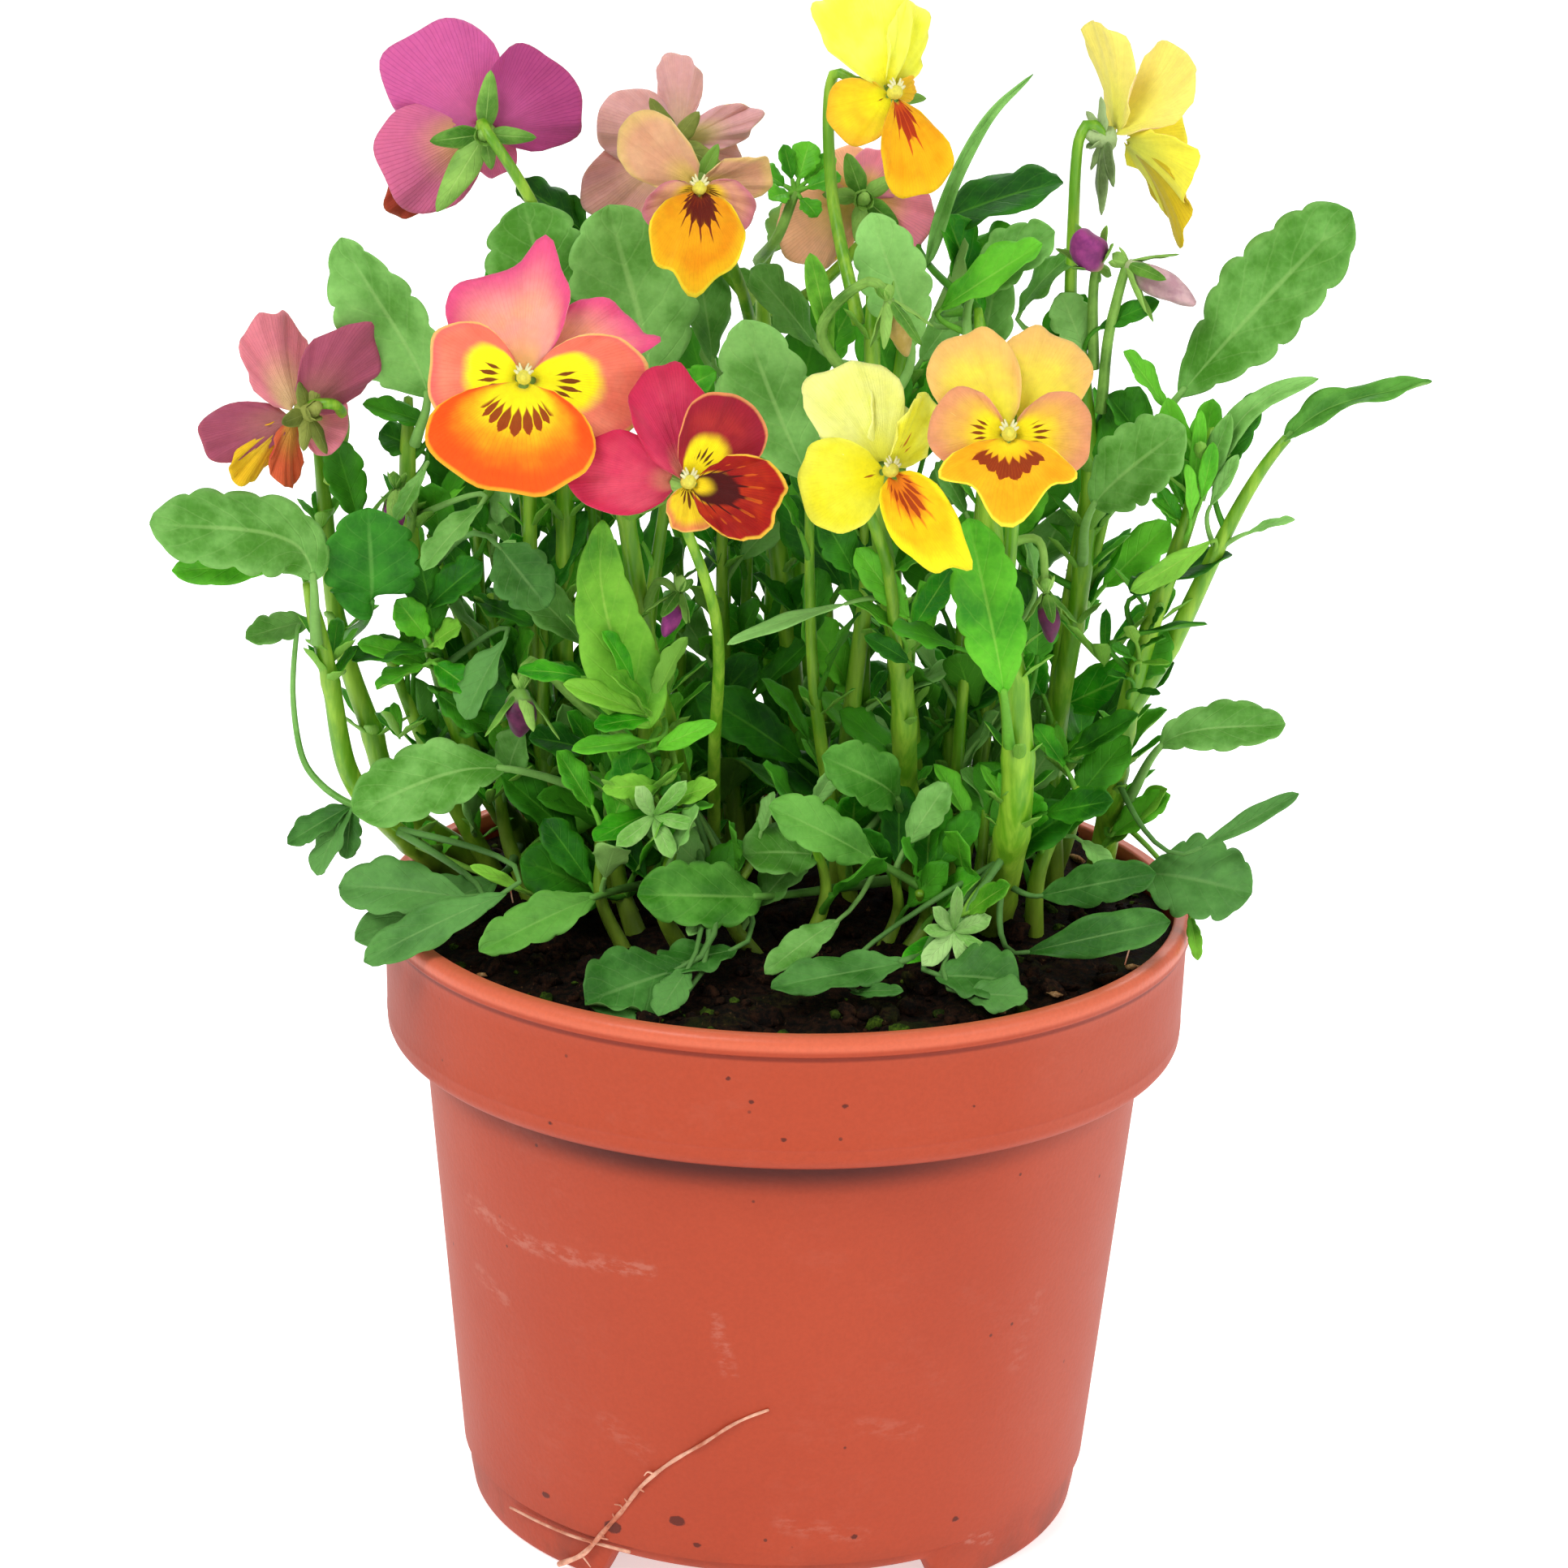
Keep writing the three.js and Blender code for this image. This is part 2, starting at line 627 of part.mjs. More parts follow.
function corollaGeometry(flower) {
  const facing = flowerFacing(flower);
  const throat = vector(flower.throat);
  const sideways = UP.clone().cross(facing).normalize();
  const top = facing.clone().cross(sideways);
  const sheets = [
    [0.3, -1],
    [0.7, -0.6],
    [1, 0],
    [0.7, 0.6],
    [0.3, 1],
  ];
  const halfThickness = COROLLA_THICKNESS / 2;
  const rings = sheets.map(([share, side]) => {
    const ring = [];
    for (let i = 0; i < COROLLA_SIDES; i += 1) {
      const angle = (2 * Math.PI * i) / COROLLA_SIDES;
      const reach = flower.radius * share * corollaOutline(angle);
      const depth = COROLLA_CUP * flower.radius * share ** 2 + side * halfThickness;
      const point = throat.clone();
      point.addScaledVector(top, reach * Math.cos(angle));
      point.addScaledVector(sideways, -reach * Math.sin(angle));
      point.addScaledVector(facing, depth);
      ring.push(point);
    }
    return ring;
  });
  const back = throat.clone().addScaledVector(facing, -halfThickness);
  const front = throat.clone().addScaledVector(facing, halfThickness);
  return loft(rings, back, front);
}

// A flower's stalk climbs, hooks over and meets the flower's back with its swollen calyx.
function stalkGeometry(flower) {
  const facing = flowerFacing(flower);
  const gap = COROLLA_THICKNESS / 2 + CLEARANCE * 1.4;
  const neck = vector(flower.throat).addScaledVector(facing, -gap);
  const crest = neck.clone().addScaledVector(facing, -NECK_LENGTH).addScaledVector(UP, 1);
  const via = vectors(flower.via);
  const foot = branchPoint(flower.stem, flower.height, via[0], STALK_RADIUS);
  const curve = smoothCurve([foot, ...via, crest, neck]);
  const calyxShare = CALYX_LENGTH / curve.getLength();
  return rod(curve, STALK_STEPS, STALK_SIDES, (share) => {
    const inCalyx = THREE.MathUtils.clamp((share - 1 + calyxShare) / calyxShare, 0, 1);
    return THREE.MathUtils.lerp(STALK_RADIUS, CALYX_RADIUS, Math.sqrt(inCalyx));
  });
}

// A bud on its hooked stalk: the rod swells and closes again over the bud's length.
function budGeometry(bud) {
  const via = vectors(bud.via);
  const foot = branchPoint(bud.stem, bud.height, via[0], BUD_STALK_RADIUS);
  const curve = smoothCurve([foot, ...via, vector(bud.crest), vector(bud.tip)]);
  const budShare = bud.length / curve.getLength();
  return rod(curve, STALK_STEPS + 2, STALK_SIDES, (share) => {
    const inBud = THREE.MathUtils.clamp((share - 1 + budShare) / budShare, 0, 1);
    const swelling = Math.sin(Math.PI * Math.min(inBud, BLUNT_TIP) ** 0.8);
    const coreRadius = BUD_STALK_RADIUS * (1 - inBud / 2);
    return coreRadius + (bud.radius - BUD_STALK_RADIUS / 2) * swelling;
  });
}

// ---- The soil ------------------------------------------------------------------------------------

// Soft uneven ground, a little higher in the middle, with one clod near the rim.
function soilHeight(x, y) {
  const radius = Math.hypot(x, y) / RIM_RADIUS;
  const mound = SOIL_MOUND * (1 - radius ** 2);
  const broadWave = 0.5 * Math.sin(x * 0.21 + 1.1) * Math.cos(y * 0.19);
  const fineWave = 0.4 * Math.sin(x * 0.43 - y * 0.37);
  const clod = polar(CLOD.radius, CLOD.angle, 0);
  const fromClod = Math.hypot(x - clod.x, y - clod.y) / CLOD.spread;
  return SOIL_EDGE_Z + mound + broadWave + fineWave + CLOD.height * Math.exp(-(fromClod ** 2));
}

// The soil follows the pot's inside, a clearance away from it.
function soilGeometry() {
  const inset = WALL_THICKNESS + CLEARANCE;
  const floorEdge = wallRadius(SOIL_BOTTOM_Z) - inset;
  const ledgeZ = BAND_BOTTOM_Z + WALL_THICKNESS + CLEARANCE;
  const bandZ = BAND_BOTTOM_Z + BAND_ROUND + WALL_THICKNESS;
  const sides = [
    [floorEdge - FLOOR_ROUND, SOIL_BOTTOM_Z],
    [floorEdge, SOIL_BOTTOM_Z + FLOOR_ROUND],
    [wallRadius(BAND_BOTTOM_Z) - inset, ledgeZ],
    [bandRadius(bandZ) - inset - CLEARANCE / 2, bandZ + CLEARANCE / 2],
  ];
  const edgeRadius = RIM_RADIUS - LIP_WIDTH - CLEARANCE;
  const rings = [];
  for (const [radius, z] of sides) {
    rings.push(soilRing(radius, () => z));
  }
  for (const share of SOIL_TOP_SHARES) {
    rings.push(soilRing(edgeRadius * share, soilHeight));
  }
  let body = solid(loft(rings));
  for (const name of Object.keys(STEMS)) {
    body = body.subtract(solid(socket(name)));
  }
  return geometryOf(body);
}

function soilRing(radius, heightAt) {
  const ring = [];
  for (let segment = 0; segment < SOIL_SEGMENTS; segment += 1) {
    const point = polar(radius, (2 * Math.PI * segment) / SOIL_SEGMENTS, 0);
    point.z = heightAt(point.x, point.y);
    ring.push(point);
  }
  return ring;
}

// The space that a stem takes up in the soil: its lower stretch, a clearance wider and deeper.
function socket(name) {
  const [first, second, third] = vectors(STEMS[name].path);
  const down = first.clone().sub(second).normalize();
  const below = first.clone().addScaledVector(down, CLEARANCE * 2);
  const curve = smoothCurve([below, first, second, third]);
  const radius = STEMS[name].radius[0] + CLEARANCE * 1.6;
  return rod(curve, SOCKET_STEPS, STEM_SIDES, () => radius);
}

// ---- The root ------------------------------------------------------------------------------------

function rootGeometry() {
  const standOff = ROOT_RADIUS + CLEARANCE * 1.4;
  const points = ROOT_COURSE.map(([degrees, z]) => {
    const radius = z < FOOT_HEIGHT ? WALL_BOTTOM_RADIUS : wallRadius(z);
    return polar(radius + standOff, degrees * DEGREE - Math.PI / 2, z);
  });
  return rod(smoothCurve(points), ROOT_STEPS, ROOT_SIDES, (share) => ROOT_RADIUS * (1 - 0.5 * share));
}

// ---- Assembly ------------------------------------------------------------------------------------

add('pot', potGeometry(), material('terracotta_plastic', FINISHES.terracotta_plastic));
add('soil', soilGeometry(), material('soil', FINISHES.soil));
add('root', rootGeometry(), material('root', FINISHES.root));

for (const name of Object.keys(STEMS)) {
  add(`stem_${name}`, stemGeometry(name), material('stem', FINISHES.stem));
}

for (const [name, leaf] of Object.entries(LEAVES)) {
  add(`leaf_${name}`, leafGeometry(leaf), material('leaf', FINISHES.leaf));
}

for (const [name, flower] of Object.entries(FLOWERS)) {
  const petals = { color: PETAL_COLOURS[name], roughness: 0.6, metalness: 0 };
  add(`stalk_${name}`, stalkGeometry(flower), material('stem', FINISHES.stem));
  add(`corolla_${name}`, corollaGeometry(flower), material(`petals_${name}`, petals));
}

for (const [name, bud] of Object.entries(BUDS)) {
  const skin = { color: BUD_COLOURS[name], roughness: 0.6, metalness: 0 };
  add(`bud_${name}`, budGeometry(bud), material(`bud_${name}`, skin));
}

export default planter;
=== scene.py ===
"""The looks of the potted pansy planter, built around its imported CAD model.

Lengths in this file are in millimetres unless a name says otherwise; a mesh is turned into
metres when it is made. "mark" is a colour attribute that every grown piece carries:
red = share along it, green = place across it (0.5 is the middle), blue = 1 on its back, and
alpha = its own tint.
"""
import math

import bmesh
import bpy
import numpy as np
from mathutils import Matrix


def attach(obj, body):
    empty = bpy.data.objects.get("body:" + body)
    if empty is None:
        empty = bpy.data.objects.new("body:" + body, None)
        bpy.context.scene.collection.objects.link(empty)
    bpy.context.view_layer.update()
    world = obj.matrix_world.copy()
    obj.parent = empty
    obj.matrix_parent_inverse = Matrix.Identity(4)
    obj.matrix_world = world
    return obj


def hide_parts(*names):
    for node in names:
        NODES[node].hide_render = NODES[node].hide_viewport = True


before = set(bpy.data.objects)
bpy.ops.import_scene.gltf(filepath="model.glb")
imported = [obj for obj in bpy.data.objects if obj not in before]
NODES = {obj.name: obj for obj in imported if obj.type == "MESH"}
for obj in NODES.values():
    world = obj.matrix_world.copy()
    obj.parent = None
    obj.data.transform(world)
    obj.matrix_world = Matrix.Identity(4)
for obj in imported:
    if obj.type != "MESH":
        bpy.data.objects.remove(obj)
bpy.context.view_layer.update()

MM = 0.001
UP = np.array([0.0, 0.0, 1.0])

# ---- Camera --------------------------------------------------------------------------------------

CAMERA_PLACE = (0.0, -0.7397, 0.3628)
CAMERA_YAW, CAMERA_PITCH, CAMERA_ROLL = (math.radians(a) for a in (-0.07, 18.14, 1.46))
CAMERA_LENS = 111.91
SENSOR = 36.0


def add_camera():
    ahead = np.array([
        math.sin(CAMERA_YAW) * math.cos(CAMERA_PITCH),
        math.cos(CAMERA_YAW) * math.cos(CAMERA_PITCH),
        -math.sin(CAMERA_PITCH),
    ])
    right = np.array([math.cos(CAMERA_YAW), -math.sin(CAMERA_YAW), 0.0])
    up = np.cross(right, ahead)
    turn, tilt = math.cos(CAMERA_ROLL), math.sin(CAMERA_ROLL)
    columns = (turn * right + tilt * up, turn * up - tilt * right, -ahead)
    data = bpy.data.cameras.new("camera")
    data.lens = CAMERA_LENS
    data.sensor_width = SENSOR
    data.clip_start = 0.01
    camera = bpy.data.objects.new("camera", data)
    bpy.context.scene.collection.objects.link(camera)
    matrix = np.eye(4)
    for column, axis in enumerate(columns):
        matrix[:3, column] = axis
    matrix[:3, 3] = CAMERA_PLACE
    camera.matrix_world = Matrix(matrix.tolist())
    bpy.context.scene.camera = camera


add_camera()

# The frame that the flowers are described in: right, up and near as seen from the front.
SEEN_TILT = math.radians(18)
SEEN = np.array([
    [1.0, 0.0, 0.0],
    [0.0, math.sin(SEEN_TILT), math.cos(SEEN_TILT)],
    [0.0, -math.cos(SEEN_TILT), math.sin(SEEN_TILT)],
])


def seen(right, up, near):
    return right * SEEN[0] + up * SEEN[1] + near * SEEN[2]


# ---- Small vector helpers ------------------------------------------------------------------------

def unit(vector):
    vector = np.asarray(vector, float)
    return vector / max(np.linalg.norm(vector), 1e-9)


def square_to(vector, axis):
    """The part of vector that is square to axis, as a unit vector."""
    axis = unit(axis)
    rest = np.asarray(vector, float) - axis * np.dot(vector, axis)
    if np.linalg.norm(rest) < 1e-4:
        rest = np.cross(axis, (0.31, 0.52, 0.8))
    return unit(rest)


def turned(vector, axis, angle):
    """vector turned about the unit axis by angle radians."""
    axis = unit(axis)
    vector = np.asarray(vector, float)
    return (vector * math.cos(angle) + np.cross(axis, vector) * math.sin(angle)
            + axis * np.dot(axis, vector) * (1 - math.cos(angle)))


def ease(x, lo, hi):
    t = np.clip((np.asarray(x, float) - lo) / (hi - lo), 0, 1)
    return t * t * (3 - 2 * t)


def read_off(wanted, known, rows):
    """rows, which stand at the places known, read off at the places wanted."""
    return np.column_stack([np.interp(wanted, known, rows[:, i]) for i in range(3)])


def resample(points, count):
    """A smooth curve through points, as count points evenly spread along it."""
    points = np.asarray(points, float)
    n = len(points)
    before = 2 * points[0] - points[1]
    after = 2 * points[-1] - points[-2]
    padded = np.vstack([before, points, after])
    dense = []
    for k in range(n - 1):
        a, b, c, d = padded[k:k + 4]
        for t in np.linspace(0, 1, 12, endpoint=False):
            dense.append(0.5 * (2 * b + (c - a) * t + (2 * a - 5 * b + 4 * c - d) * t * t
                                + (3 * b - a - 3 * c + d) * t ** 3))
    dense = np.array(dense + [points[-1]])
    steps = np.r_[0, np.cumsum(np.linalg.norm(np.diff(dense, axis=0), axis=1))]
    return read_off(np.linspace(0, steps[-1], count), steps, dense)


# ---- Shells: closed bodies as (points, faces, marks) ---------------------------------------------

def sheet_shell(grid, thickness, along, across, tint):
    """A thin closed body round a surface grid whose rows run along it and columns across it."""
    rows, columns = grid.shape[:2]
    d_along = np.gradient(grid, axis=0)
    d_across = np.gradient(grid, axis=1)
    normal = np.cross(d_along, d_across)
    length = np.linalg.norm(normal, axis=2, keepdims=True)
    normal = normal / np.maximum(length, 1e-9)
    half = thickness / 2 * np.ones((rows, columns))
    taper = 0.25 + 0.75 * (1 - np.abs(np.linspace(-1, 1, columns)) ** 6)
    half = (half * taper[None, :])[:, :, None]
    half[0] *= 0.6
    half[-1] *= 0.35
    top = (grid + normal * half).reshape(-1, 3)
    bottom = (grid - normal * half).reshape(-1, 3)
    count = rows * columns
    index = np.arange(count).reshape(rows, columns)
    a, b = index[:-1, :-1].ravel(), index[1:, :-1].ravel()
    c, d = index[1:, 1:].ravel(), index[:-1, 1:].ravel()
    faces = np.column_stack([a, b, c, d]).tolist()
    faces += (np.column_stack([d, c, b, a]) + count).tolist()
    rim = np.concatenate([
        index[0, :], index[1:, -1], index[-1, -2::-1], index[-2:0:-1, 0],
    ])
    after = np.roll(rim, -1)
    faces += np.column_stack([rim, after, after + count, rim + count]).tolist()
    marks = np.zeros((2 * count, 4))
    marks[:, 0] = np.tile(np.broadcast_to(along, (rows, columns)).ravel(), 2)
    marks[:, 1] = np.tile(np.broadcast_to(across, (rows, columns)).ravel() * 0.5 + 0.5, 2)
    marks[count:, 2] = 1
    marks[:, 3] = tint
    return np.vstack([top, bottom]), faces, marks


def ring_faces(count, around, flip=False):
    """Faces that join count rings of around points, closed by the two points after them."""
    index = np.arange(count * around).reshape(count, around)
    right = np.roll(index, -1, axis=1)
    faces = np.column_stack([
        index[:-1].ravel(), right[:-1].ravel(), right[1:].ravel(), index[1:].ravel(),
    ]).tolist()
    first, last = count * around, count * around + 1
    for s in range(around):
        faces.append([first, right[0, s], index[0, s]])
        faces.append([last, index[-1, s], right[-1, s]])
    return [face[:1] + face[:0:-1] for face in faces] if flip else faces


def tube_shell(path, radii, sides, tint=0.5, ridge=0.0, ridges=3, twist=0.0):
    """A round closed tube along path, with a softly ridged section."""
    path = np.asarray(path, float)
    count = len(path)
    radii = np.broadcast_to(radii, (count,)).astype(float)
    heading = np.gradient(path, axis=0)
    side = square_to((0.2, -1, 0.1), heading[0])
    turn = np.linspace(0, 2 * math.pi, sides, endpoint=False)
    rings = []
    for k in range(count):
        axis = unit(heading[k])
        side = square_to(side, axis)
        other = np.cross(axis, side)
        wave = 1 + ridge * np.cos(ridges * (turn + twist * k / count))
        ring = path[k] + radii[k] * wave[:, None] * (
            np.cos(turn)[:, None] * side + np.sin(turn)[:, None] * other)
        rings.append(ring)
    points = np.vstack(rings + [path[:1] - unit(heading[0]) * radii[0] * 0.4,
                                path[-1:] + unit(heading[-1]) * radii[-1] * 0.5])
    marks = np.zeros((len(points), 4))
    marks[:-2, 0] = np.repeat(np.linspace(0, 1, count), sides)
    marks[-1, 0] = 1
    marks[:-2, 1] = np.tile(np.abs(turn / math.pi - 1), count)
    marks[-2:, 1] = 0.5
    marks[:, 3] = tint
    return points, ring_faces(count, sides), marks


def tapered(points, count, first, last, sides, tint=0.5, **section):
    """A tube on a smooth curve through points, whose radius goes from first to last."""
    return tube_shell(resample(points, count), np.linspace(first, last, count), sides, tint,
                      **section)


def joined(shells):
    points, faces, marks, offset = [], [], [], 0
    for shell_points, shell_faces, shell_marks in shells:
        points.append(shell_points)
        faces += [[i + offset for i in face] for face in shell_faces]
        marks.append(shell_marks)
        offset += len(shell_points)
    return np.vstack(points), faces, np.vstack(marks)


def add_piece(name, shells, material, replaces=()):
    """One object made of closed shells, riding on the only body."""
    points, faces, marks = joined(shells)
    mesh = bpy.data.meshes.new(name)
    mesh.from_pydata((points * MM).tolist(), [], faces)
    layer = mesh.color_attributes.new("mark", "FLOAT_COLOR", "POINT")
    layer.data.foreach_set("color", marks.ravel())
    mesh.materials.append(material)
    mesh.shade_smooth()
    mesh.update()
    piece = bpy.data.objects.new(name, mesh)
    bpy.context.scene.collection.objects.link(piece)
    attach(piece, "root")
    if replaces:
        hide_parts(*replaces)
    return piece


# ---- Reading the CAD's lofts ---------------------------------------------------------------------

def merged_points(node):
    """A CAD node's points, each once, and the set of neighbours of each."""
    mesh = NODES[node].data
    place, merged, points = {}, [], []
    for vertex in mesh.vertices:
        key = tuple(round(c * 1e6) for c in vertex.co)
        if key not in place:
            place[key] = len(points)
            points.append([c / MM for c in vertex.co])
        merged.append(place[key])
    near = [set() for _ in points]
    for polygon in mesh.polygons:
        corners = [merged[v] for v in polygon.vertices]
        for k, corner in enumerate(corners):
            near[corner].add(corners[k - 1])
            near[corners[k - 1]].add(corner)
    return np.array(points), near


def loft_rings(node):
    """The rings of points, from one end to the other, that a lofted CAD node is made of."""
    points, near = merged_points(node)
    caps = []
    for index, around in enumerate(near):
        if len(around) != 5 and all(len(near[other]) == 5 for other in around):
            caps.append(index)
    start = min(caps, key=lambda i: points[i][2]) if len(caps) > 1 else caps[0]
    layer, seen_before, rings = {start}, {start}, []
    while True:
        layer = {o for i in layer for o in near[i]} - seen_before
        if len(layer) < 3:
            break
        seen_before |= layer
        ordered = [min(layer)]
        while len(ordered) < len(layer):
            step = [o for o in near[ordered[-1]] if o in layer and o not in ordered]
            if not step:
                break
            ordered.append(step[0])
        rings.append(points[ordered])
    return rings


# ---- Materials -----------------------------------------------------------------------------------

def linear(rgb):
    """A 0-255 sRGB colour as the linear RGBA that shaders take."""
    values = [c / 255 for c in rgb]
    return tuple(v / 12.92 if v <= 0.04045 else ((v + 0.055) / 1.055) ** 2.4 for v in values) + (1,)


class Wire:
    """A node's output that can be used in sums."""

    def __init__(self, graph, socket):
        self.graph, self.socket = graph, socket

    def _math(self, operation, *others):
        return self.graph.math(operation, self, *others)

    def __add__(self, other): return self._math("ADD", other)
    def __radd__(self, other): return self._math("ADD", other)
    def __sub__(self, other): return self._math("SUBTRACT", other)
    def __rsub__(self, other): return self.graph.math("SUBTRACT", other, self)
    def __mul__(self, other): return self._math("MULTIPLY", other)
    def __rmul__(self, other): return self._math("MULTIPLY", other)
    def __pow__(self, other): return self._math("POWER", other)
    def abs(self): return self._math("ABSOLUTE")
    def frac(self): return self._math("FRACT")
    def max(self, other): return self._math("MAXIMUM", other)
    def min(self, other): return self._math("MINIMUM", other)

    def step(self, lo, hi, to_lo=0.0, to_hi=1.0):
        """A soft step from to_lo below lo to to_hi above hi."""
        node = self.graph.tree.nodes.new("ShaderNodeMapRange")
        node.interpolation_type = "SMOOTHSTEP"
        if lo > hi:
            lo, hi, to_lo, to_hi = hi, lo, to_hi, to_lo
        for socket, value in zip(node.inputs, (self, lo, hi, to_lo, to_hi)):
            self.graph.feed(socket, value)
        return Wire(self.graph, node.outputs[0])


class Graph:
    """A material's node tree, built by formulas."""

    def __init__(self, name):
        self.material = bpy.data.materials.new(name)
        self.material.use_nodes = True
        self.tree = self.material.node_tree
        self.shader = self.tree.nodes["Principled BSDF"]
        place = self.tree.nodes.new("ShaderNodeTexCoord")
        self.place = Wire(self, place.outputs["Object"])

    def feed(self, socket, value):
        if isinstance(value, Wire):
            self.tree.links.new(value.socket, socket)
        elif isinstance(value, tuple) and socket.type == "RGBA":
            socket.default_value = linear(value) if len(value) == 3 else value
        else:
            socket.default_value = value

    def math(self, operation, *values):
        node = self.tree.nodes.new("ShaderNodeMath")
        node.operation = operation
        for socket, value in zip(node.inputs, values):
            self.feed(socket, value)
        return Wire(self, node.outputs[0])

    def mark(self):
        """The four parts of the mark attribute: along, across (-1 to 1), back, tint."""
        node = self.tree.nodes.new("ShaderNodeAttribute")
        node.attribute_name = "mark"
        parts = self.tree.nodes.new("ShaderNodeSeparateColor")
        self.tree.links.new(node.outputs["Color"], parts.inputs[0])
        along, across, back = (Wire(self, socket) for socket in parts.outputs)
        return along, across * 2 - 1, back, Wire(self, node.outputs["Alpha"])

    def xyz(self):
        """Where the surface is, in millimetres."""
        parts = self.tree.nodes.new("ShaderNodeSeparateXYZ")
        self.tree.links.new(self.place.socket, parts.inputs[0])
        return tuple(Wire(self, socket) * 1000 for socket in parts.outputs)

    def noise(self, size, detail=2.0, roughness=0.55, distortion=0.0, stretch=None):
        """Noise whose features are about size millimetres across."""
        vector = self.place
        if stretch:
            node = self.tree.nodes.new("ShaderNodeVectorMath")
            node.operation = "MULTIPLY"
            self.tree.links.new(vector.socket, node.inputs[0])
            node.inputs[1].default_value = stretch
            vector = Wire(self, node.outputs[0])
        node = self.tree.nodes.new("ShaderNodeTexNoise")
        self.tree.links.new(vector.socket, node.inputs["Vector"])
        node.inputs["Scale"].default_value = 1000 / size
        node.inputs["Detail"].default_value = detail
        node.inputs["Roughness"].default_value = roughness
        node.inputs["Distortion"].default_value = distortion
        return Wire(self, node.outputs[0])

    def cells(self, size, kind="F1"):
        node = self.tree.nodes.new("ShaderNodeTexVoronoi")
        node.feature = kind
        self.tree.links.new(self.place.socket, node.inputs["Vector"])
        node.inputs["Scale"].default_value = 1000 / size
        return Wire(self, node.outputs["Distance"])

    def mix(self, share, first, second):
        """first where share is 0, second where it is 1."""
        node = self.tree.nodes.new("ShaderNodeMix")
        node.data_type = "RGBA"
        self.feed(node.inputs["Factor"], share)
        colours = [socket for socket in node.inputs if socket.type == "RGBA"]
        self.feed(colours[0], first)
        self.feed(colours[1], second)
        out = [socket for socket in node.outputs if socket.type == "RGBA"][0]
        return Wire(self, out)

    def bright(self, colour, factor):
        """colour made brighter or darker by factor."""
        node = self.tree.nodes.new("ShaderNodeVectorMath")
        node.operation = "SCALE"
        self.feed(node.inputs[0], colour)
        self.feed(node.inputs["Scale"], factor)
        return Wire(self, node.outputs[0])

    def finish(self, colour, roughness, height, depth, specular, sheen=0.0, glow=0.0):
        """Feeds the shader. depth is how tall the height's full range is, in millimetres."""
        shader = self.shader.inputs
        self.feed(shader["Base Color"], colour)
        self.feed(shader["Roughness"], roughness)
        shader["Specular IOR Level"].default_value = specular
        shader["Sheen Weight"].default_value = sheen
        shader["Sheen Roughness"].default_value = 0.5
        if glow:
            shader["Subsurface Weight"].default_value = glow
            shader["Subsurface Radius"].default_value = (1.0, 0.8, 0.4)
            shader["Subsurface Scale"].default_value = 0.0012
        bump = self.tree.nodes.new("ShaderNodeBump")
        bump.inputs["Strength"].default_value = 1.0
        bump.inputs["Distance"].default_value = depth * MM
        self.feed(bump.inputs["Height"], height)
        self.tree.links.new(bump.outputs[0], shader["Normal"])
        return self.material


# ---- Leaf, stem and petal materials --------------------------------------------------------------

LEAF_VEINS = 6.0       # side veins on each half of a blade
LEAF_VEIN_SLANT = 1.9  # how much further along a side vein is at the margin

# Each look of leaf: its main, light and dark greens, its veins and its back. The darker "deep" and
# "dusk" looks go on leaves inside the clump and low round its foot, as painted shade.
LEAF_LOOKS = {
    "blue_green": ((36, 120, 12), (66, 150, 40), (18, 94, 4), (110, 174, 76), (90, 150, 60)),
    "dusk": ((64, 126, 44), (94, 152, 72), (38, 96, 20), (122, 168, 92), (94, 140, 66)),
    "pale": ((146, 200, 104), (178, 220, 138), (112, 176, 70), (190, 222, 150), (170, 212, 130)),
    "grey": ((104, 166, 72), (140, 198, 104), (70, 134, 34), (160, 206, 116), (134, 180, 92)),
    "mid": ((76, 146, 42), (108, 174, 70), (46, 114, 14), (138, 190, 92), (108, 160, 70)),
    "fresh": ((62, 166, 14), (104, 194, 44), (26, 122, 2), (150, 210, 80), (124, 182, 66)),
    "lime": ((92, 168, 30), (128, 194, 58), (54, 130, 10), (168, 212, 88), (130, 184, 66)),
    "deep": ((38, 122, 8), (70, 154, 26), (14, 82, 1), (98, 174, 46), (70, 140, 30)),
}


def leaf_material(name, look):
    base, light, dark, vein, rear = look
    g = Graph(name)
    along, across, back, tint = g.mark()
    wobble = g.noise(6, 3)
    out = across.abs()
    midrib = out.step(0.075, 0.015) * along.step(1.0, 0.6, 0.1, 1.0)
    phase = (along * LEAF_VEINS - out * LEAF_VEIN_SLANT + (wobble - 0.5) * 0.5).frac()
    side_vein = (phase - 0.5).abs().step(0.42, 0.5) * out.step(1.0, 0.6, 0.2, 1.0)
    net = g.cells(1.5, "DISTANCE_TO_EDGE").step(0.10, 0.0)
    patches = g.noise(9, 4, 0.6)
    fine = g.noise(0.9, 3, 0.6)
    colour = g.mix(patches.step(0.38, 0.68), dark, base)
    colour = g.mix(((patches * 0.6 + tint * 0.55)).step(0.42, 0.86), colour, light)
    colour = g.mix(out.step(0.72, 1.0) * 0.35, colour, light)
    colour = g.mix(side_vein * 0.13, colour, vein)
    colour = g.mix(net * 0.05, colour, vein)
    colour = g.mix(midrib * 0.42, colour, vein)
    colour = g.bright(colour, fine.step(0.2, 0.8, 0.92, 1.06))
    under = g.mix(side_vein * 0.4 + midrib * 0.5, rear, vein)
    under = g.bright(under, patches.step(0.3, 0.7, 0.82, 1.05))
    colour = g.mix(back, colour, under)
    height = fine * 0.25 + g.cells(0.55) * 0.25 - side_vein * 0.5 - midrib * 0.5
    rough = patches.step(0.3, 0.7, 0.50, 0.64)
    return g.finish(colour, rough, height, 0.08, specular=0.2)


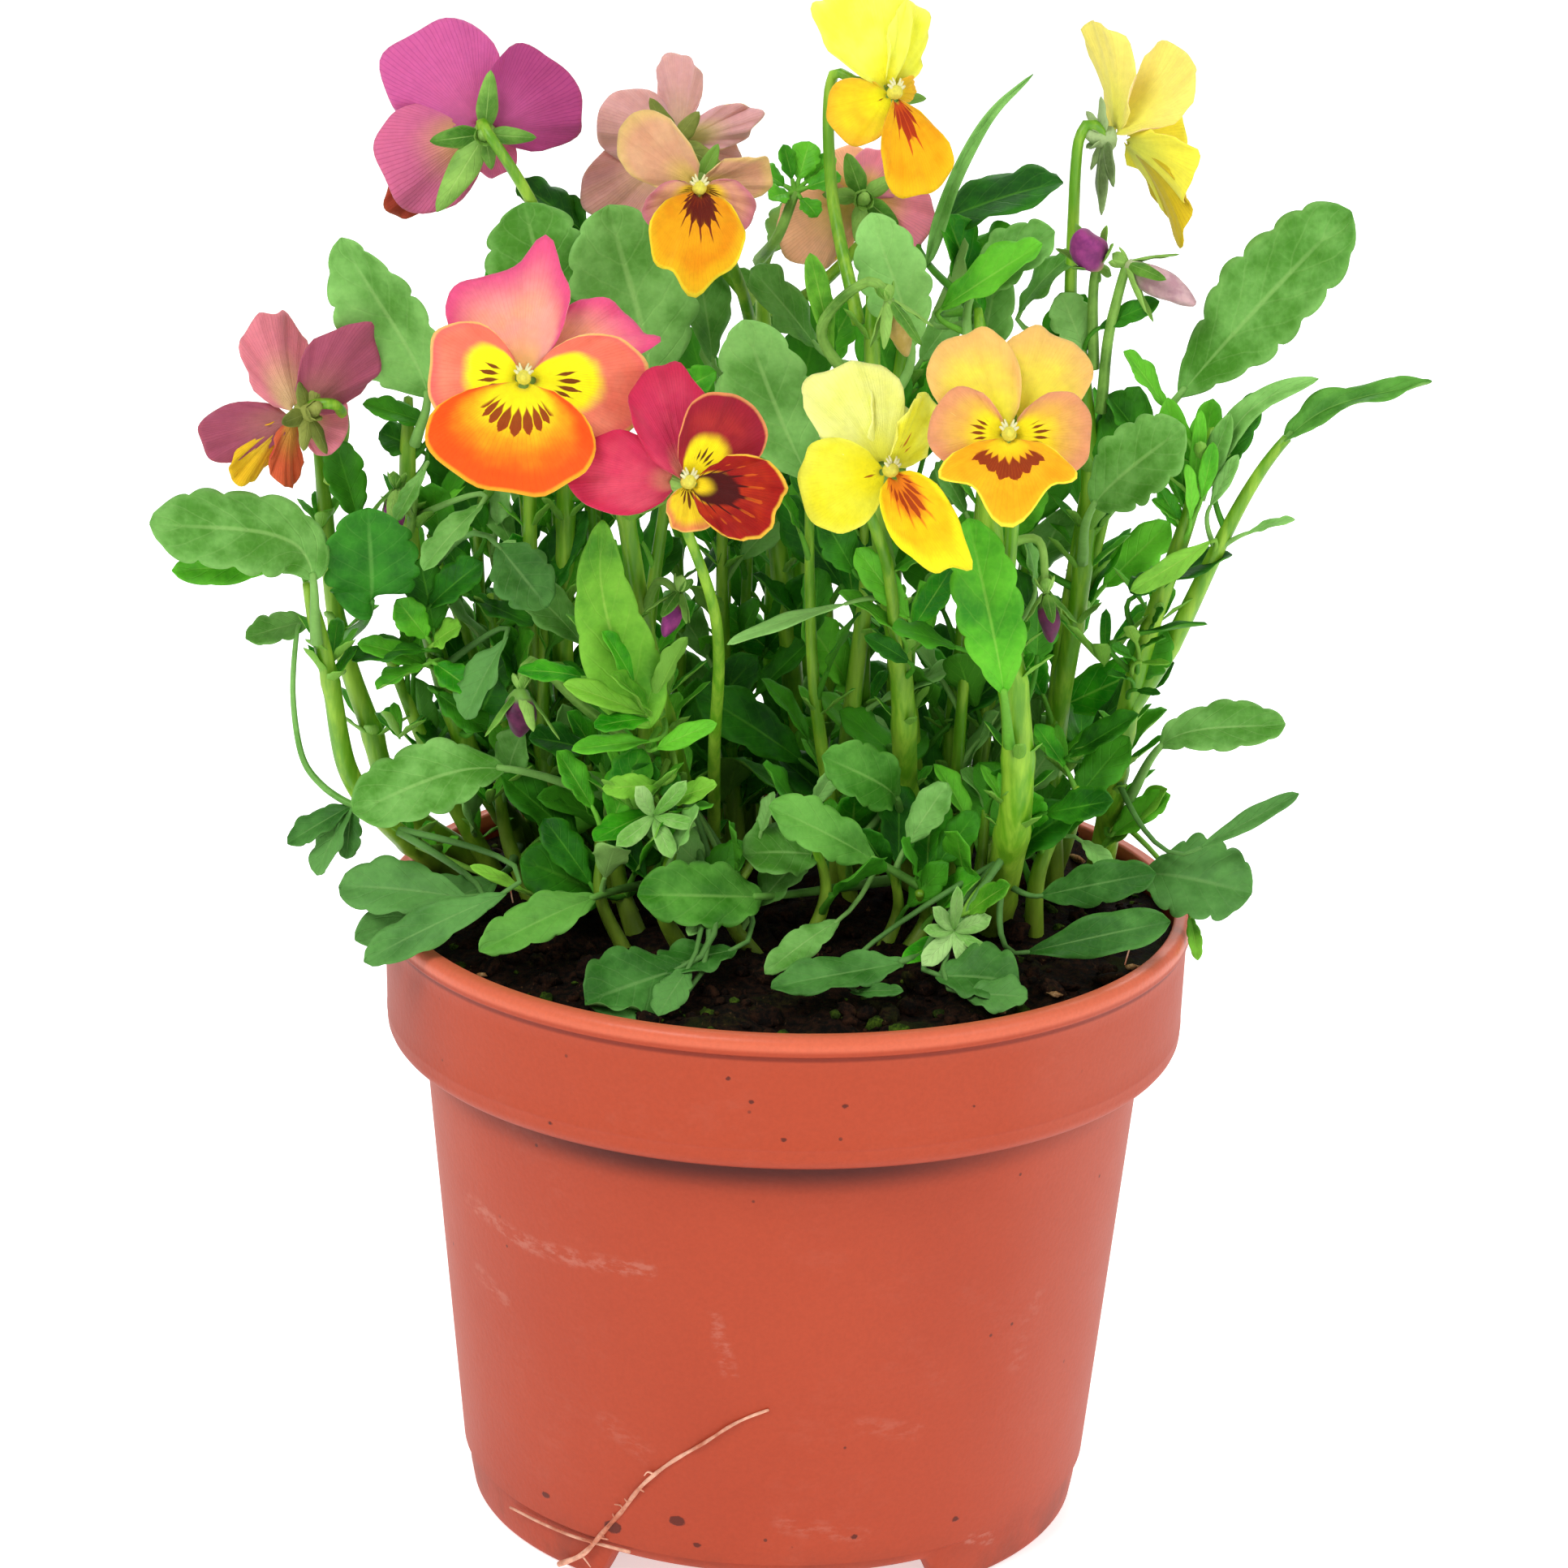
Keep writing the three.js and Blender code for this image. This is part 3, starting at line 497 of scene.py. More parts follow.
def stem_material(name, base, light, low):
    g = Graph(name)
    *_, tint = g.mark()
    z = g.xyz()[2]
    streaks = g.noise(2.2, 4, 0.6, stretch=(1, 1, 0.12))
    patches = g.noise(12, 3)
    colour = g.mix(streaks.step(0.35, 0.7), base, light)
    colour = g.mix(((z - 96) * 0.02 + (patches - 0.5) * 0.6).step(0.55, 0.0) * 0.75, colour, low)
    colour = g.bright(colour, tint * 0.35 + patches.step(0.25, 0.75, 0.66, 0.96))
    fine = g.noise(0.6, 3)
    return g.finish(colour, streaks.step(0.3, 0.7, 0.38, 0.55), fine * 0.4 + streaks * 0.6, 0.12,
                    specular=0.45, glow=0.1)


def petal_material(name, look):
    """A petal: its own colour, an eye patch with a blotch and dark lines, and an edge."""
    g = Graph(name)
    along, across, back, tint = g.mark()
    drift = g.noise(7, 3, 0.55)
    fine = g.noise(1.1, 3, 0.6)
    warped = along + (drift - 0.5) * 0.22
    rays = look.get("rays", 8)
    aside = across - look.get("lean", 0.0)
    out = aside.abs()
    bend = aside * rays + (drift - 0.5) * 0.5 + 0.5 * (rays % 2)
    ray_gap = (bend.frac() - 0.5).abs() * 2
    ray = ray_gap.step(0.60, 1.0)
    hair = ((across * 31 + (drift - 0.5) * 1.5).frac() - 0.5).abs().step(0.34, 0.5)
    colour = g.mix(drift.step(0.36, 0.66), look["base"], look.get("second", look["base"]))
    edge_from, edge_to = look.get("edge_at", (0.80, 0.98))
    colour = g.mix(warped.step(edge_from, edge_to) * look.get("edge_share", 0.9), colour,
                   look.get("edge", look["base"]))
    if "eye" in look:
        near, far = look["eye_at"]
        narrowing = out * look.get("eye_narrow", 0.0)
        colour = g.mix((warped + narrowing).step(far, near), colour, look["eye"])
    if "blotch" in look:
        near, far = look["blotch_at"]
        reach = warped + out * look.get("blotch_narrow", 0.15) - ray * look.get("fringe", 0.10)
        colour = g.mix(reach.step(far, near), colour, look["blotch"])
    if "lines" in look:
        near, far = look["lines_at"]
        reach = along + out * look.get("line_narrow", 0.25) + (fine - 0.5) * 0.08
        width = reach.step(far, near) * look.get("line_width", 0.62)
        stroke = (ray_gap - 1.0 + width).step(0.0, 0.16) * reach.step(far, far - 0.04)
        start = look.get("line_start", 0.10)
        start = (along + (ray_gap - 1) * 0.10).step(start, start + 0.05)
        limit = look.get("line_limit", 1.2)
        start = start * out.step(limit, limit - 0.08)
        colour = g.mix(stroke * start * look.get("line_share", 0.95), colour, look["lines"])
    colour = g.mix(hair * 0.16 * along.step(0.05, 0.5), colour, look.get("vein", look["base"]))
    if "throat" in look:
        near = look.get("throat_at", 0.13)
        colour = g.mix((along + out * 0.1).step(near, near * 0.5), colour, look["throat"])
    if "rim" in look:
        colour = g.mix(along.step(0.955, 0.985) * 0.85, colour, look["rim"])
    under = g.mix(along.step(0.15, 0.75), look.get("back_low", (228, 214, 120)),
                  look.get("back", look["base"]))
    under = g.mix(hair * 0.35, under, look.get("vein", look["base"]))
    colour = g.mix(back, colour, under)
    colour = g.bright(colour, fine.step(0.2, 0.8, 0.93, 1.05) * (tint * 0.16 + 0.92))
    height = hair * 0.35 + ray * 0.25 + fine * 0.4 + g.cells(0.35) * 0.3
    return g.finish(colour, drift.step(0.3, 0.7, 0.6, 0.75), height, 0.07, specular=0.14,
                    sheen=0.08, glow=0.23)


# ---- The pot -------------------------------------------------------------------------------------

POT_HEIGHT, RIM_RADIUS = 102.0, 65.0
BAND_BOTTOM_Z, BAND_BOTTOM_RADIUS, BAND_ROUND = 80.0, 64.0, 2.2
LIP_BOTTOM_Z, LIP_WIDTH, LIP_OVERHANG, LIP_ROUND, LIP_EDGE = 98.8, 2.8, 0.6, 1.4, 0.5
WALL_TOP_RADIUS, WALL_BOTTOM_RADIUS, WALL = 58.2, 50.6, 1.3
FOOT_HEIGHT, FOOT_RADIUS, FOOT_RING, FOOT_ROUND, FOOT_RECESS = 8.0, 49.8, 3.0, 1.2, 0.3
NOTCHES, NOTCH_TOP = 3, 5.9
NOTCH_HALF, NOTCH_SLOPE = math.radians(33.5), math.radians(4)
FLOOR, FLOOR_ROUND = 1.6, 2.0
DRAIN_CIRCLE, DRAIN_RADIUS, DRAIN_HOLES = 34.0, 4.0, 4
POT_SEGMENTS = 216
MOULD_LINES = (83.6, 9.4)  # faint raised lines left by the mould


def wall_radius(z):
    return WALL_BOTTOM_RADIUS + (WALL_TOP_RADIUS - WALL_BOTTOM_RADIUS) * z / BAND_BOTTOM_Z


def band_radius(z):
    share = (z - BAND_BOTTOM_Z) / (LIP_BOTTOM_Z - BAND_BOTTOM_Z)
    return BAND_BOTTOM_RADIUS + (RIM_RADIUS - LIP_OVERHANG - BAND_BOTTOM_RADIUS) * share


def arc(radius, z, size, start, end, steps):
    angles = np.radians(np.linspace(start, end, steps + 1))
    return [(radius + size * math.cos(a), z + size * math.sin(a)) for a in angles]


def pot_profile():
    """(radius, height) from the foot's inner edge, up the outside, and down the inside."""
    foot_inner = FOOT_RADIUS - FOOT_RING
    foot_top = WALL_BOTTOM_RADIUS - FOOT_RECESS
    ledge = wall_radius(BAND_BOTTOM_Z)
    band_z = BAND_BOTTOM_Z + BAND_ROUND
    lip_inner = RIM_RADIUS - LIP_WIDTH
    floor_z = FOOT_HEIGHT + FLOOR
    floor_edge = wall_radius(floor_z) - WALL
    outside = [(foot_inner, FOOT_HEIGHT), (foot_inner, 4.0), (foot_inner, 0.4),
               (foot_inner + 0.4, 0.0)]
    outside += arc(FOOT_RADIUS - FOOT_ROUND, FOOT_ROUND, FOOT_ROUND, -90, 0, 4)
    outside += [(foot_top, 4.0), (foot_top + 0.12, 7.6), (wall_radius(8.3), 8.3)]
    for z in np.linspace(9.0, BAND_BOTTOM_Z - 1.2, 15):
        outside.append((wall_radius(z), z))
    outside += [(ledge, BAND_BOTTOM_Z - 0.4), (ledge + 0.4, BAND_BOTTOM_Z)]
    outside += arc(band_radius(band_z) - BAND_ROUND, band_z, BAND_ROUND, -90, 0, 6)
    for z in (83.1, 83.4, 83.8, 84.1, 87.0, 90.0, 93.0, 96.0):
        raised = 0.06 if abs(z - MOULD_LINES[0]) < 0.25 else 0.0
        outside.append((band_radius(z) + raised, z))
    outside.append((band_radius(LIP_BOTTOM_Z - 0.3), LIP_BOTTOM_Z - 0.3))
    outside += arc(RIM_RADIUS - LIP_EDGE, LIP_BOTTOM_Z + LIP_EDGE, LIP_EDGE, -80, 0, 3)
    outside += arc(RIM_RADIUS - LIP_ROUND, POT_HEIGHT - LIP_ROUND, LIP_ROUND, 0, 90, 6)
    inside = arc(lip_inner + LIP_EDGE, POT_HEIGHT - LIP_EDGE, LIP_EDGE, 90, 180, 3)
    inside += [
        (lip_inner, LIP_BOTTOM_Z),
        (band_radius(LIP_BOTTOM_Z) - WALL, LIP_BOTTOM_Z - WALL),
        (band_radius(band_z) - WALL, band_z + WALL / 2),
        (ledge - WALL, BAND_BOTTOM_Z + WALL),
        (floor_edge, floor_z + FLOOR_ROUND),
        (floor_edge - FLOOR_ROUND * 0.3, floor_z + FLOOR_ROUND * 0.3),
        (floor_edge - FLOOR_ROUND, floor_z),
    ]
    return outside + inside


def foot_lift(angle):
    """How far the foot's edge is cut away at an angle: a notch, with sloping ends, three times."""
    spacing = 2 * math.pi / NOTCHES
    off = (angle + math.pi / 2 + spacing / 2) % spacing - spacing / 2
    return NOTCH_TOP * (1 - ease(abs(off), NOTCH_HALF - NOTCH_SLOPE, NOTCH_HALF))


def pot_shell():
    rings = []
    turn = np.linspace(0, 2 * math.pi, POT_SEGMENTS, endpoint=False)
    lift = np.array([foot_lift(a) for a in turn])
    for radius, z in pot_profile():
        heights = np.full(POT_SEGMENTS, z)
        if z < FOOT_HEIGHT:
            heights = z + lift * (1 - z / FOOT_HEIGHT)
        rings.append(np.column_stack([radius * np.cos(turn), radius * np.sin(turn), heights]))
    count = len(rings)
    points = np.vstack(rings + [[[0, 0, FOOT_HEIGHT]], [[0, 0, FOOT_HEIGHT + FLOOR]]])
    return points, ring_faces(count, POT_SEGMENTS), np.zeros((len(points), 4))


# Where dust has been rubbed on: both ends (x, z), width and strength.
SCUFFS = (
    ((-48, 58.8), (-40, 57.2), 1.1, 0.55), ((-40, 57.2), (-32, 57.6), 1.3, 0.5),
    ((-32, 57.6), (-20, 58.6), 1.2, 0.45), ((-47, 46.8), (-43, 44.6), 1.0, 0.4),
    ((-9.6, 52), (-6.8, 42.6), 0.9, 0.35), ((31.8, 7.9), (34.9, 6.4), 0.6, 0.7),
    ((14, 33), (22, 31), 1.4, 0.2), ((-26, 30), (-20, 26), 1.6, 0.22),
    ((38, 38), (41, 49), 1.0, 0.2), ((2, 16), (14, 13), 1.6, 0.25),
)
MUD = ((-24.9, 11.2, 1.7), (-14.6, 14.9, 1.5), (-36, 12.5, 0.8), (-11.5, 11.0, 0.7),
       (29.2, 12.9, 0.7), (13.2, 13.0, 0.6), (-35, 83, 0.5), (-4.5, 91.5, 0.5),
       (0.5, 85.5, 0.5), (9.5, 91, 0.6), (-8, 95, 0.5), (29, 89, 0.4))


def pot_material():
    g = Graph("terracotta_plastic")
    x, y, z = g.xyz()
    broad = g.noise(34, 3)
    blotches = g.noise(9, 4, 0.6)
    grain = g.noise(0.7, 3, 0.6)
    pits = g.cells(1.1)
    rubbed = g.noise(3.2, 4, 0.65, stretch=(1, 1, 2.2))
    colour = g.mix(broad.step(0.2, 0.8), (168, 62, 34), (174, 67, 38))
    colour = g.mix(blotches.step(0.5, 0.8) * 0.12, colour, (160, 60, 38))
    # The band is in shade at its left end, the wall a little lighter on the right.
    colour = g.mix(z.step(79.6, 80.6) * 0.8, colour, (174, 66, 36))
    colour = g.mix(z.step(79.6, 80.6) * x.step(-48, -60) * 0.5, colour, (138, 44, 24))
    colour = g.mix((x - 48).abs().step(16, 2) * z.step(4, 30) * 0.2, colour,
                   (190, 98, 78))
    # The lip's top is painted lighter, a painted highlight, and is made glossier.
    lip = z.step(99.4, 100.2)
    colour = g.mix(lip * 0.7, colour, (224, 112, 80))
    # A dark line painted just under the lip's overhanging edge is its painted shadow.
    colour = g.mix((z - 98.5).abs().step(0.7, 0.2) * 0.75, colour, (112, 28, 10))
    # Just under the band the wall is painted darker as the shadow the band casts on it, deepest at
    # the front middle. The band's lower edge is a little darker, and the foot is darker and
    # dirtier.
    under = z.step(73.0, 78.0) * z.step(80.9, 80.1)
    colour = g.mix(under * (x + 6).abs().step(56, 14, 0.3, 0.95), colour, (76, 20, 12))
    hem = z.step(82.5, 80.4) * z.step(79.8, 80.2)
    colour = g.mix(hem * 0.3, colour, (150, 58, 42))
    colour = g.mix(z.step(13.0, 1.0) * blotches.step(0.36, 0.7) * 0.6, colour, (120, 58, 42))
    ridge = (z - MOULD_LINES[0]).abs().step(0.35, 0.05)
    colour = g.mix(ridge * 0.3, colour, (166, 66, 46))
    front = y.step(2.0, -2.0)
    dust = None
    for (x0, z0), (x1, z1), width, share in SCUFFS:
        length = math.hypot(x1 - x0, z1 - z0)
        ux, uz = (x1 - x0) / length, (z1 - z0) / length
        along = ((x - x0) * ux + (z - z0) * uz).max(0.0).min(length)
        dx, dz = x - x0 - along * ux, z - z0 - along * uz
        gap = (dx * dx + dz * dz) ** 0.5
        mask = (gap - rubbed * 1.6).step(width, -0.4) * share
        dust = mask if dust is None else dust.max(mask)
    dusty = rubbed.step(0.42, 0.62)
    film = g.noise(22, 5, 0.65).step(0.52, 0.78) * rubbed.step(0.40, 0.66) * 0.12
    dust = (dust * dusty * front).max(film * z.step(99.0, 96.0))
    colour = g.mix(dust * 0.55, colour, (206, 150, 134))
    mud = None
    for x0, z0, size in MUD:
        dx, dz = x - x0, z - z0
        gap = (dx * dx + dz * dz * 1.6) ** 0.5
        mask = (gap - (blotches - 0.5) * size - (grain - 0.5) * 0.8).step(size, size - 0.3)
        mud = mask if mud is None else mud.max(mask)
    mud = mud * front * 0.85
    colour = g.mix(mud, colour, (74, 24, 16))
    specks = g.cells(5.2).step(0.075, 0.045) * g.noise(16, 2).step(0.48, 0.54)
    colour = g.mix(specks * 0.8 * (1 - lip), colour, (84, 36, 26))
    colour = g.bright(colour, grain.step(0.25, 0.75, 0.95, 1.04))
    height = grain * 0.45 + pits * 0.3 + broad * 0.5 + dust * 0.2 + mud * 0.8
    rough = lip.step(0.0, 1.0, 0.52, 0.36) + dust * 0.2 + (blotches - 0.5) * 0.1
    return g.finish(colour, rough, height, 0.09, specular=0.26)


def cut_drain_holes(pot):
    cutters = []
    for hole in range(DRAIN_HOLES):
        angle = 2 * math.pi * (hole + 0.5) / DRAIN_HOLES
        place = (DRAIN_CIRCLE * math.cos(angle) * MM, DRAIN_CIRCLE * math.sin(angle) * MM,
                 (FOOT_HEIGHT + FLOOR / 2) * MM)
        mesh = bpy.data.meshes.new("drain_cutter")
        shape = bmesh.new()
        bmesh.ops.create_cone(shape, cap_ends=True, segments=32, radius1=DRAIN_RADIUS * MM,
                              radius2=DRAIN_RADIUS * MM, depth=FLOOR * 3 * MM)
        shape.to_mesh(mesh)
        shape.free()
        cutter = bpy.data.objects.new("drain_cutter", mesh)
        cutter.location = place
        bpy.context.scene.collection.objects.link(cutter)
        cutters.append(cutter)
    bpy.context.view_layer.update()
    for cutter in cutters:
        cut = pot.modifiers.new("drain", "BOOLEAN")
        cut.operation = "DIFFERENCE"
        cut.object = cutter
        cut.solver = "EXACT"
    seen_by = bpy.context.evaluated_depsgraph_get()
    mesh = bpy.data.meshes.new_from_object(pot.evaluated_get(seen_by))
    pot.modifiers.clear()
    pot.data = mesh
    for cutter in cutters:
        bpy.data.objects.remove(cutter)


pot = add_piece("flowerpot", [pot_shell()], pot_material(), ("pot",))
cut_drain_holes(pot)
pot.data.shade_smooth()
pot.data.set_sharp_from_angle(angle=math.radians(42))

# ---- Soil ----------------------------------------------------------------------------------------

SOIL_EDGE_Z, SOIL_MOUND = 97.0, 2.5
CLOD_ANGLE, CLOD_CIRCLE, CLOD_HEIGHT, CLOD_SPREAD = math.radians(38), 52.0, 6.0, 11.0
SOIL_GAP = 0.15
PLANT_REACH = 61  # crumbs and the ends of inner leaves stay this near the axis


def soil_height(x, y):
    radius = np.hypot(x, y) / RIM_RADIUS
    waves = 0.5 * np.sin(x * 0.21 + 1.1) * np.cos(y * 0.19) + 0.4 * np.sin(x * 0.43 - y * 0.37)
    clod_x, clod_y = CLOD_CIRCLE * math.cos(CLOD_ANGLE), CLOD_CIRCLE * math.sin(CLOD_ANGLE)
    off = np.hypot(x - clod_x, y - clod_y) / CLOD_SPREAD
    return (SOIL_EDGE_Z + SOIL_MOUND * (1 - radius ** 2) + waves
            + CLOD_HEIGHT * np.exp(-off ** 2))


def value_noise(x, y, size, seed):
    """Smooth noise from -1 to 1 over the soil, with features about size mm across."""
    table = np.random.default_rng(seed).uniform(-1, 1, (64, 64))
    u, v = x / size + 100, y / size + 100
    i, j = np.floor(u).astype(int), np.floor(v).astype(int)
    s, t = ease(u - i, 0, 1), ease(v - j, 0, 1)
    a, b = table[i % 64, j % 64], table[(i + 1) % 64, j % 64]
    c, d = table[i % 64, (j + 1) % 64], table[(i + 1) % 64, (j + 1) % 64]
    return (a * (1 - s) + b * s) * (1 - t) + (c * (1 - s) + d * s) * t


def rough_soil(x, y):
    lumps = 0.9 * value_noise(x, y, 7, 1) + 0.7 * np.abs(value_noise(x, y, 2.6, 2))
    return soil_height(x, y) + lumps + 0.35 * value_noise(x, y, 1.2, 3) - 0.3


def soil_top(x, y):
    """The rough soil's height at one spot."""
    return float(rough_soil(np.array(x), np.array(y)))


def soil_shell():
    around, shares = 240, np.linspace(1, 0.012, 78)
    turn = np.linspace(0, 2 * math.pi, around, endpoint=False)
    floor_z = FOOT_HEIGHT + FLOOR + SOIL_GAP
    inset = WALL + SOIL_GAP
    floor_edge = wall_radius(floor_z) - inset
    band_z = BAND_BOTTOM_Z + BAND_ROUND + WALL
    edge = RIM_RADIUS - LIP_WIDTH - SOIL_GAP
    sides = [(0.4, floor_z), (floor_edge - FLOOR_ROUND, floor_z),
             (floor_edge, floor_z + FLOOR_ROUND),
             (wall_radius(BAND_BOTTOM_Z) - inset, BAND_BOTTOM_Z + WALL + SOIL_GAP),
             (band_radius(band_z) - inset, band_z)]
    rings = []
    for radius, z in sides:
        rings.append(np.column_stack([radius * np.cos(turn), radius * np.sin(turn),
                                      np.full(around, z)]))
    for share in shares:
        x, y = edge * share * np.cos(turn), edge * share * np.sin(turn)
        calm = ease(share, 1.0, 0.955)
        z = soil_height(x, y) * (1 - calm) + rough_soil(x, y) * calm
        rings.append(np.column_stack([x, y, z]))
    count = len(rings)
    points = np.vstack(rings + [[rings[0].mean(0)], [rings[-1].mean(0)]])
    return points, ring_faces(count, around), np.zeros((len(points), 4))


def crumb_shell(place, size, flat, chance, tint):
    """A rough lump: a round grid pushed in and out."""
    rows, columns = 5, 8
    axis = unit(chance.normal(size=3))
    side = square_to(chance.normal(size=3), axis)
    other = np.cross(axis, side)
    stretch = chance.uniform(0.6, 1.35, 3)
    rings = []
    for k in range(rows):
        polar = math.pi * (k + 0.5) / rows
        for s in range(columns):
            turn = 2 * math.pi * s / columns + 0.3 * k
            push = size * chance.uniform(0.72, 1.18)
            rings.append(push * (math.cos(polar) * axis * stretch[0]
                                 + math.sin(polar) * (math.cos(turn) * side * stretch[1]
                                                      + math.sin(turn) * other * stretch[2])))
    points = np.array(rings + [axis * size * stretch[0], -axis * size * stretch[0]])
    points[:, 2] *= flat
    marks = np.zeros((len(points), 4))
    marks[:, 3] = tint
    return points + place, ring_faces(rows, columns, flip=True), marks


def scattered_crumbs(count, sizes, chance, near_edge=0.0):
    shells = []
    for _ in range(count):
        radius = PLANT_REACH * math.sqrt(chance.uniform(near_edge, 1)) * 0.985
        angle = chance.uniform(0, 2 * math.pi)
        x, y = radius * math.cos(angle), radius * math.sin(angle)
        size = sizes[0] + (sizes[1] - sizes[0]) * chance.uniform(0, 1) ** 3
        reach = RIM_RADIUS - LIP_WIDTH - 0.3 - size * 1.35
        if radius > reach:
            x, y = x * reach / radius, y * reach / radius
        z = soil_top(x, y) + size * 0.2
        shells.append(crumb_shell((x, y, z), size, 0.75, chance, chance.uniform(0, 1)))
    return shells


def soil_material(name, dark, brown, moss, moss_share):
    g = Graph(name)
    *_, tint = g.mark()
    broad = g.noise(11, 4, 0.6)
    grain = g.noise(1.3, 4, 0.65)
    fibre = g.noise(0.8, 3, 0.6, distortion=1.2, stretch=(1, 0.3, 0.5))
    colour = g.mix(grain.step(0.38, 0.66), dark, brown)
    colour = g.mix((broad + grain * 0.3).step(0.70, 0.84) * moss_share, colour, moss)
    colour = g.mix(fibre.step(0.66, 0.74) * 0.5, colour, (116, 82, 52))
    colour = g.bright(colour, tint * 0.7 + 0.75)
    return g.finish(colour, grain.step(0.3, 0.7, 0.82, 0.98), grain * 0.7 + fibre * 0.3, 0.7,
                    specular=0.1)


peat = soil_material("peat", (7, 4, 2), (44, 25, 14), (34, 44, 8), 0.6)
add_piece("soil_bed", [soil_shell()], peat, ("soil",))
crumb_chance = np.random.default_rng(5)
add_piece("soil_crumbs", scattered_crumbs(620, (0.5, 2.6), crumb_chance), peat)
moss = soil_material("moss", (28, 44, 6), (62, 84, 18), (96, 116, 34), 0.7)
add_piece("soil_moss", scattered_crumbs(150, (0.5, 1.7), crumb_chance, 0.35), moss)
chip_material = soil_material("bark_chip", (140, 98, 58), (196, 158, 112), (120, 100, 60), 0.3)
CHIPS = ((33.1, -40.2, 1.7), (41.8, -34.3, 1.1), (54.5, -21.5, 1.2), (12, -56, 0.8),
         (-22, -52, 1.0), (-47, -30, 0.9), (-52, 12, 1.3), (20, 52, 1.4), (-18, 50, 1.1),
         (48, 26, 1.5), (56, 4, 0.9), (-58, -6, 0.8), (2, -58, 0.7), (38, 44, 1.0))
add_piece("soil_chips", [
    crumb_shell((x, y, soil_top(x, y) + size * 0.45), size, 0.6, crumb_chance,
                crumb_chance.uniform(0, 1))
    for x, y, size in CHIPS
], chip_material)


# ---- Stems ---------------------------------------------------------------------------------------

def ring_path(node, foot=None):
    """A lofted node's centre line and radii, from the end where the measure foot is smaller."""
    rings = loft_rings(node)
    centres = np.array([ring.mean(0) for ring in rings])
    radii = np.array([np.linalg.norm(ring - ring.mean(0), axis=1).mean() for ring in rings])
    if foot is not None:
        first, last = foot(centres[0]), foot(centres[-1])
        if last < first:
            centres, radii = centres[::-1], radii[::-1]
    return centres, radii


green_stem = stem_material("stem_green", (92, 154, 16), (150, 194, 52), (118, 140, 36))
STEM_STEPS, STEM_SIDES, STEM_JOINTS = 84, 18, 5
stem_paths, stem_nodes = {}, {}
stem_chance = np.random.default_rng(11)
for node in sorted(n for n in NODES if n.startswith("stem_")):
    centres, radii = ring_path(node)
    path = resample(centres, STEM_STEPS)
    share = np.linspace(0, 1, STEM_STEPS)
    radius = np.interp(share, np.linspace(0, 1, len(radii)), radii)
    joints = np.sort(stem_chance.uniform(0.16, 0.95, STEM_JOINTS))
    for joint in joints:
        radius *= 1 + 0.13 * np.exp(-((share - joint) / 0.016) ** 2)
    for axis in range(2):
        path[:, axis] += 0.35 * np.sin(share * stem_chance.uniform(9, 16)
                                       + stem_chance.uniform(0, 6)) * ease(share, 0, 0.2)
    stem_paths[node] = path
    stem_nodes[node] = [path[int(joint * (STEM_STEPS - 1))] for joint in joints]
    tint = stem_chance.uniform(0.2, 0.9)
    shell = tube_shell(path, radius, STEM_SIDES, tint, ridge=0.05, ridges=4, twist=0.6)
    add_piece(node.replace("stem", "shoot"), [shell], green_stem, (node,))

all_stem_points = np.vstack([path[12:] for path in stem_paths.values()])


def stem_gap(point):
    return np.linalg.norm(all_stem_points - point, axis=1).min()


def nearest_stem(point, drop=6.0):
    """The stem point that a leaf at point most likely grows from: near it, and a bit lower."""
    off = all_stem_points - (np.asarray(point) - (0, 0, drop))
    return all_stem_points[np.argmin(np.linalg.norm(off * (1, 1, 0.8), axis=1))]


# ---- Leaves --------------------------------------------------------------------------------------

FACE = unit((0.0, -0.62, 0.78))  # where most blades face: up and to the front
LEAF_STEPS = 60  # points along a leaf, its petiole included
# Rows and columns of a blade, most rings of its petiole, and the blade's thickness.
LEAF_SIZES = {"main": (60, 15, 16, 0.34), "extra": (28, 9, 9, 0.3), "filler": (17, 7, 9, 0.3)}
# Petioles get a low tint, so they take their look's darker greens: painted shade among the leaves.
PETIOLE_SIDES, PETIOLE_SHADE_TINT = 7, 0.1
KNEE_FLOOR = 99.5   # the knee of a small leaf's petiole is never lower than this
LEAF_FLOOR = 100.5  # and inner leaves neither begin nor end lower than this
JOINT_FLOOR = 101   # joints of the stems carry a tuft only above this


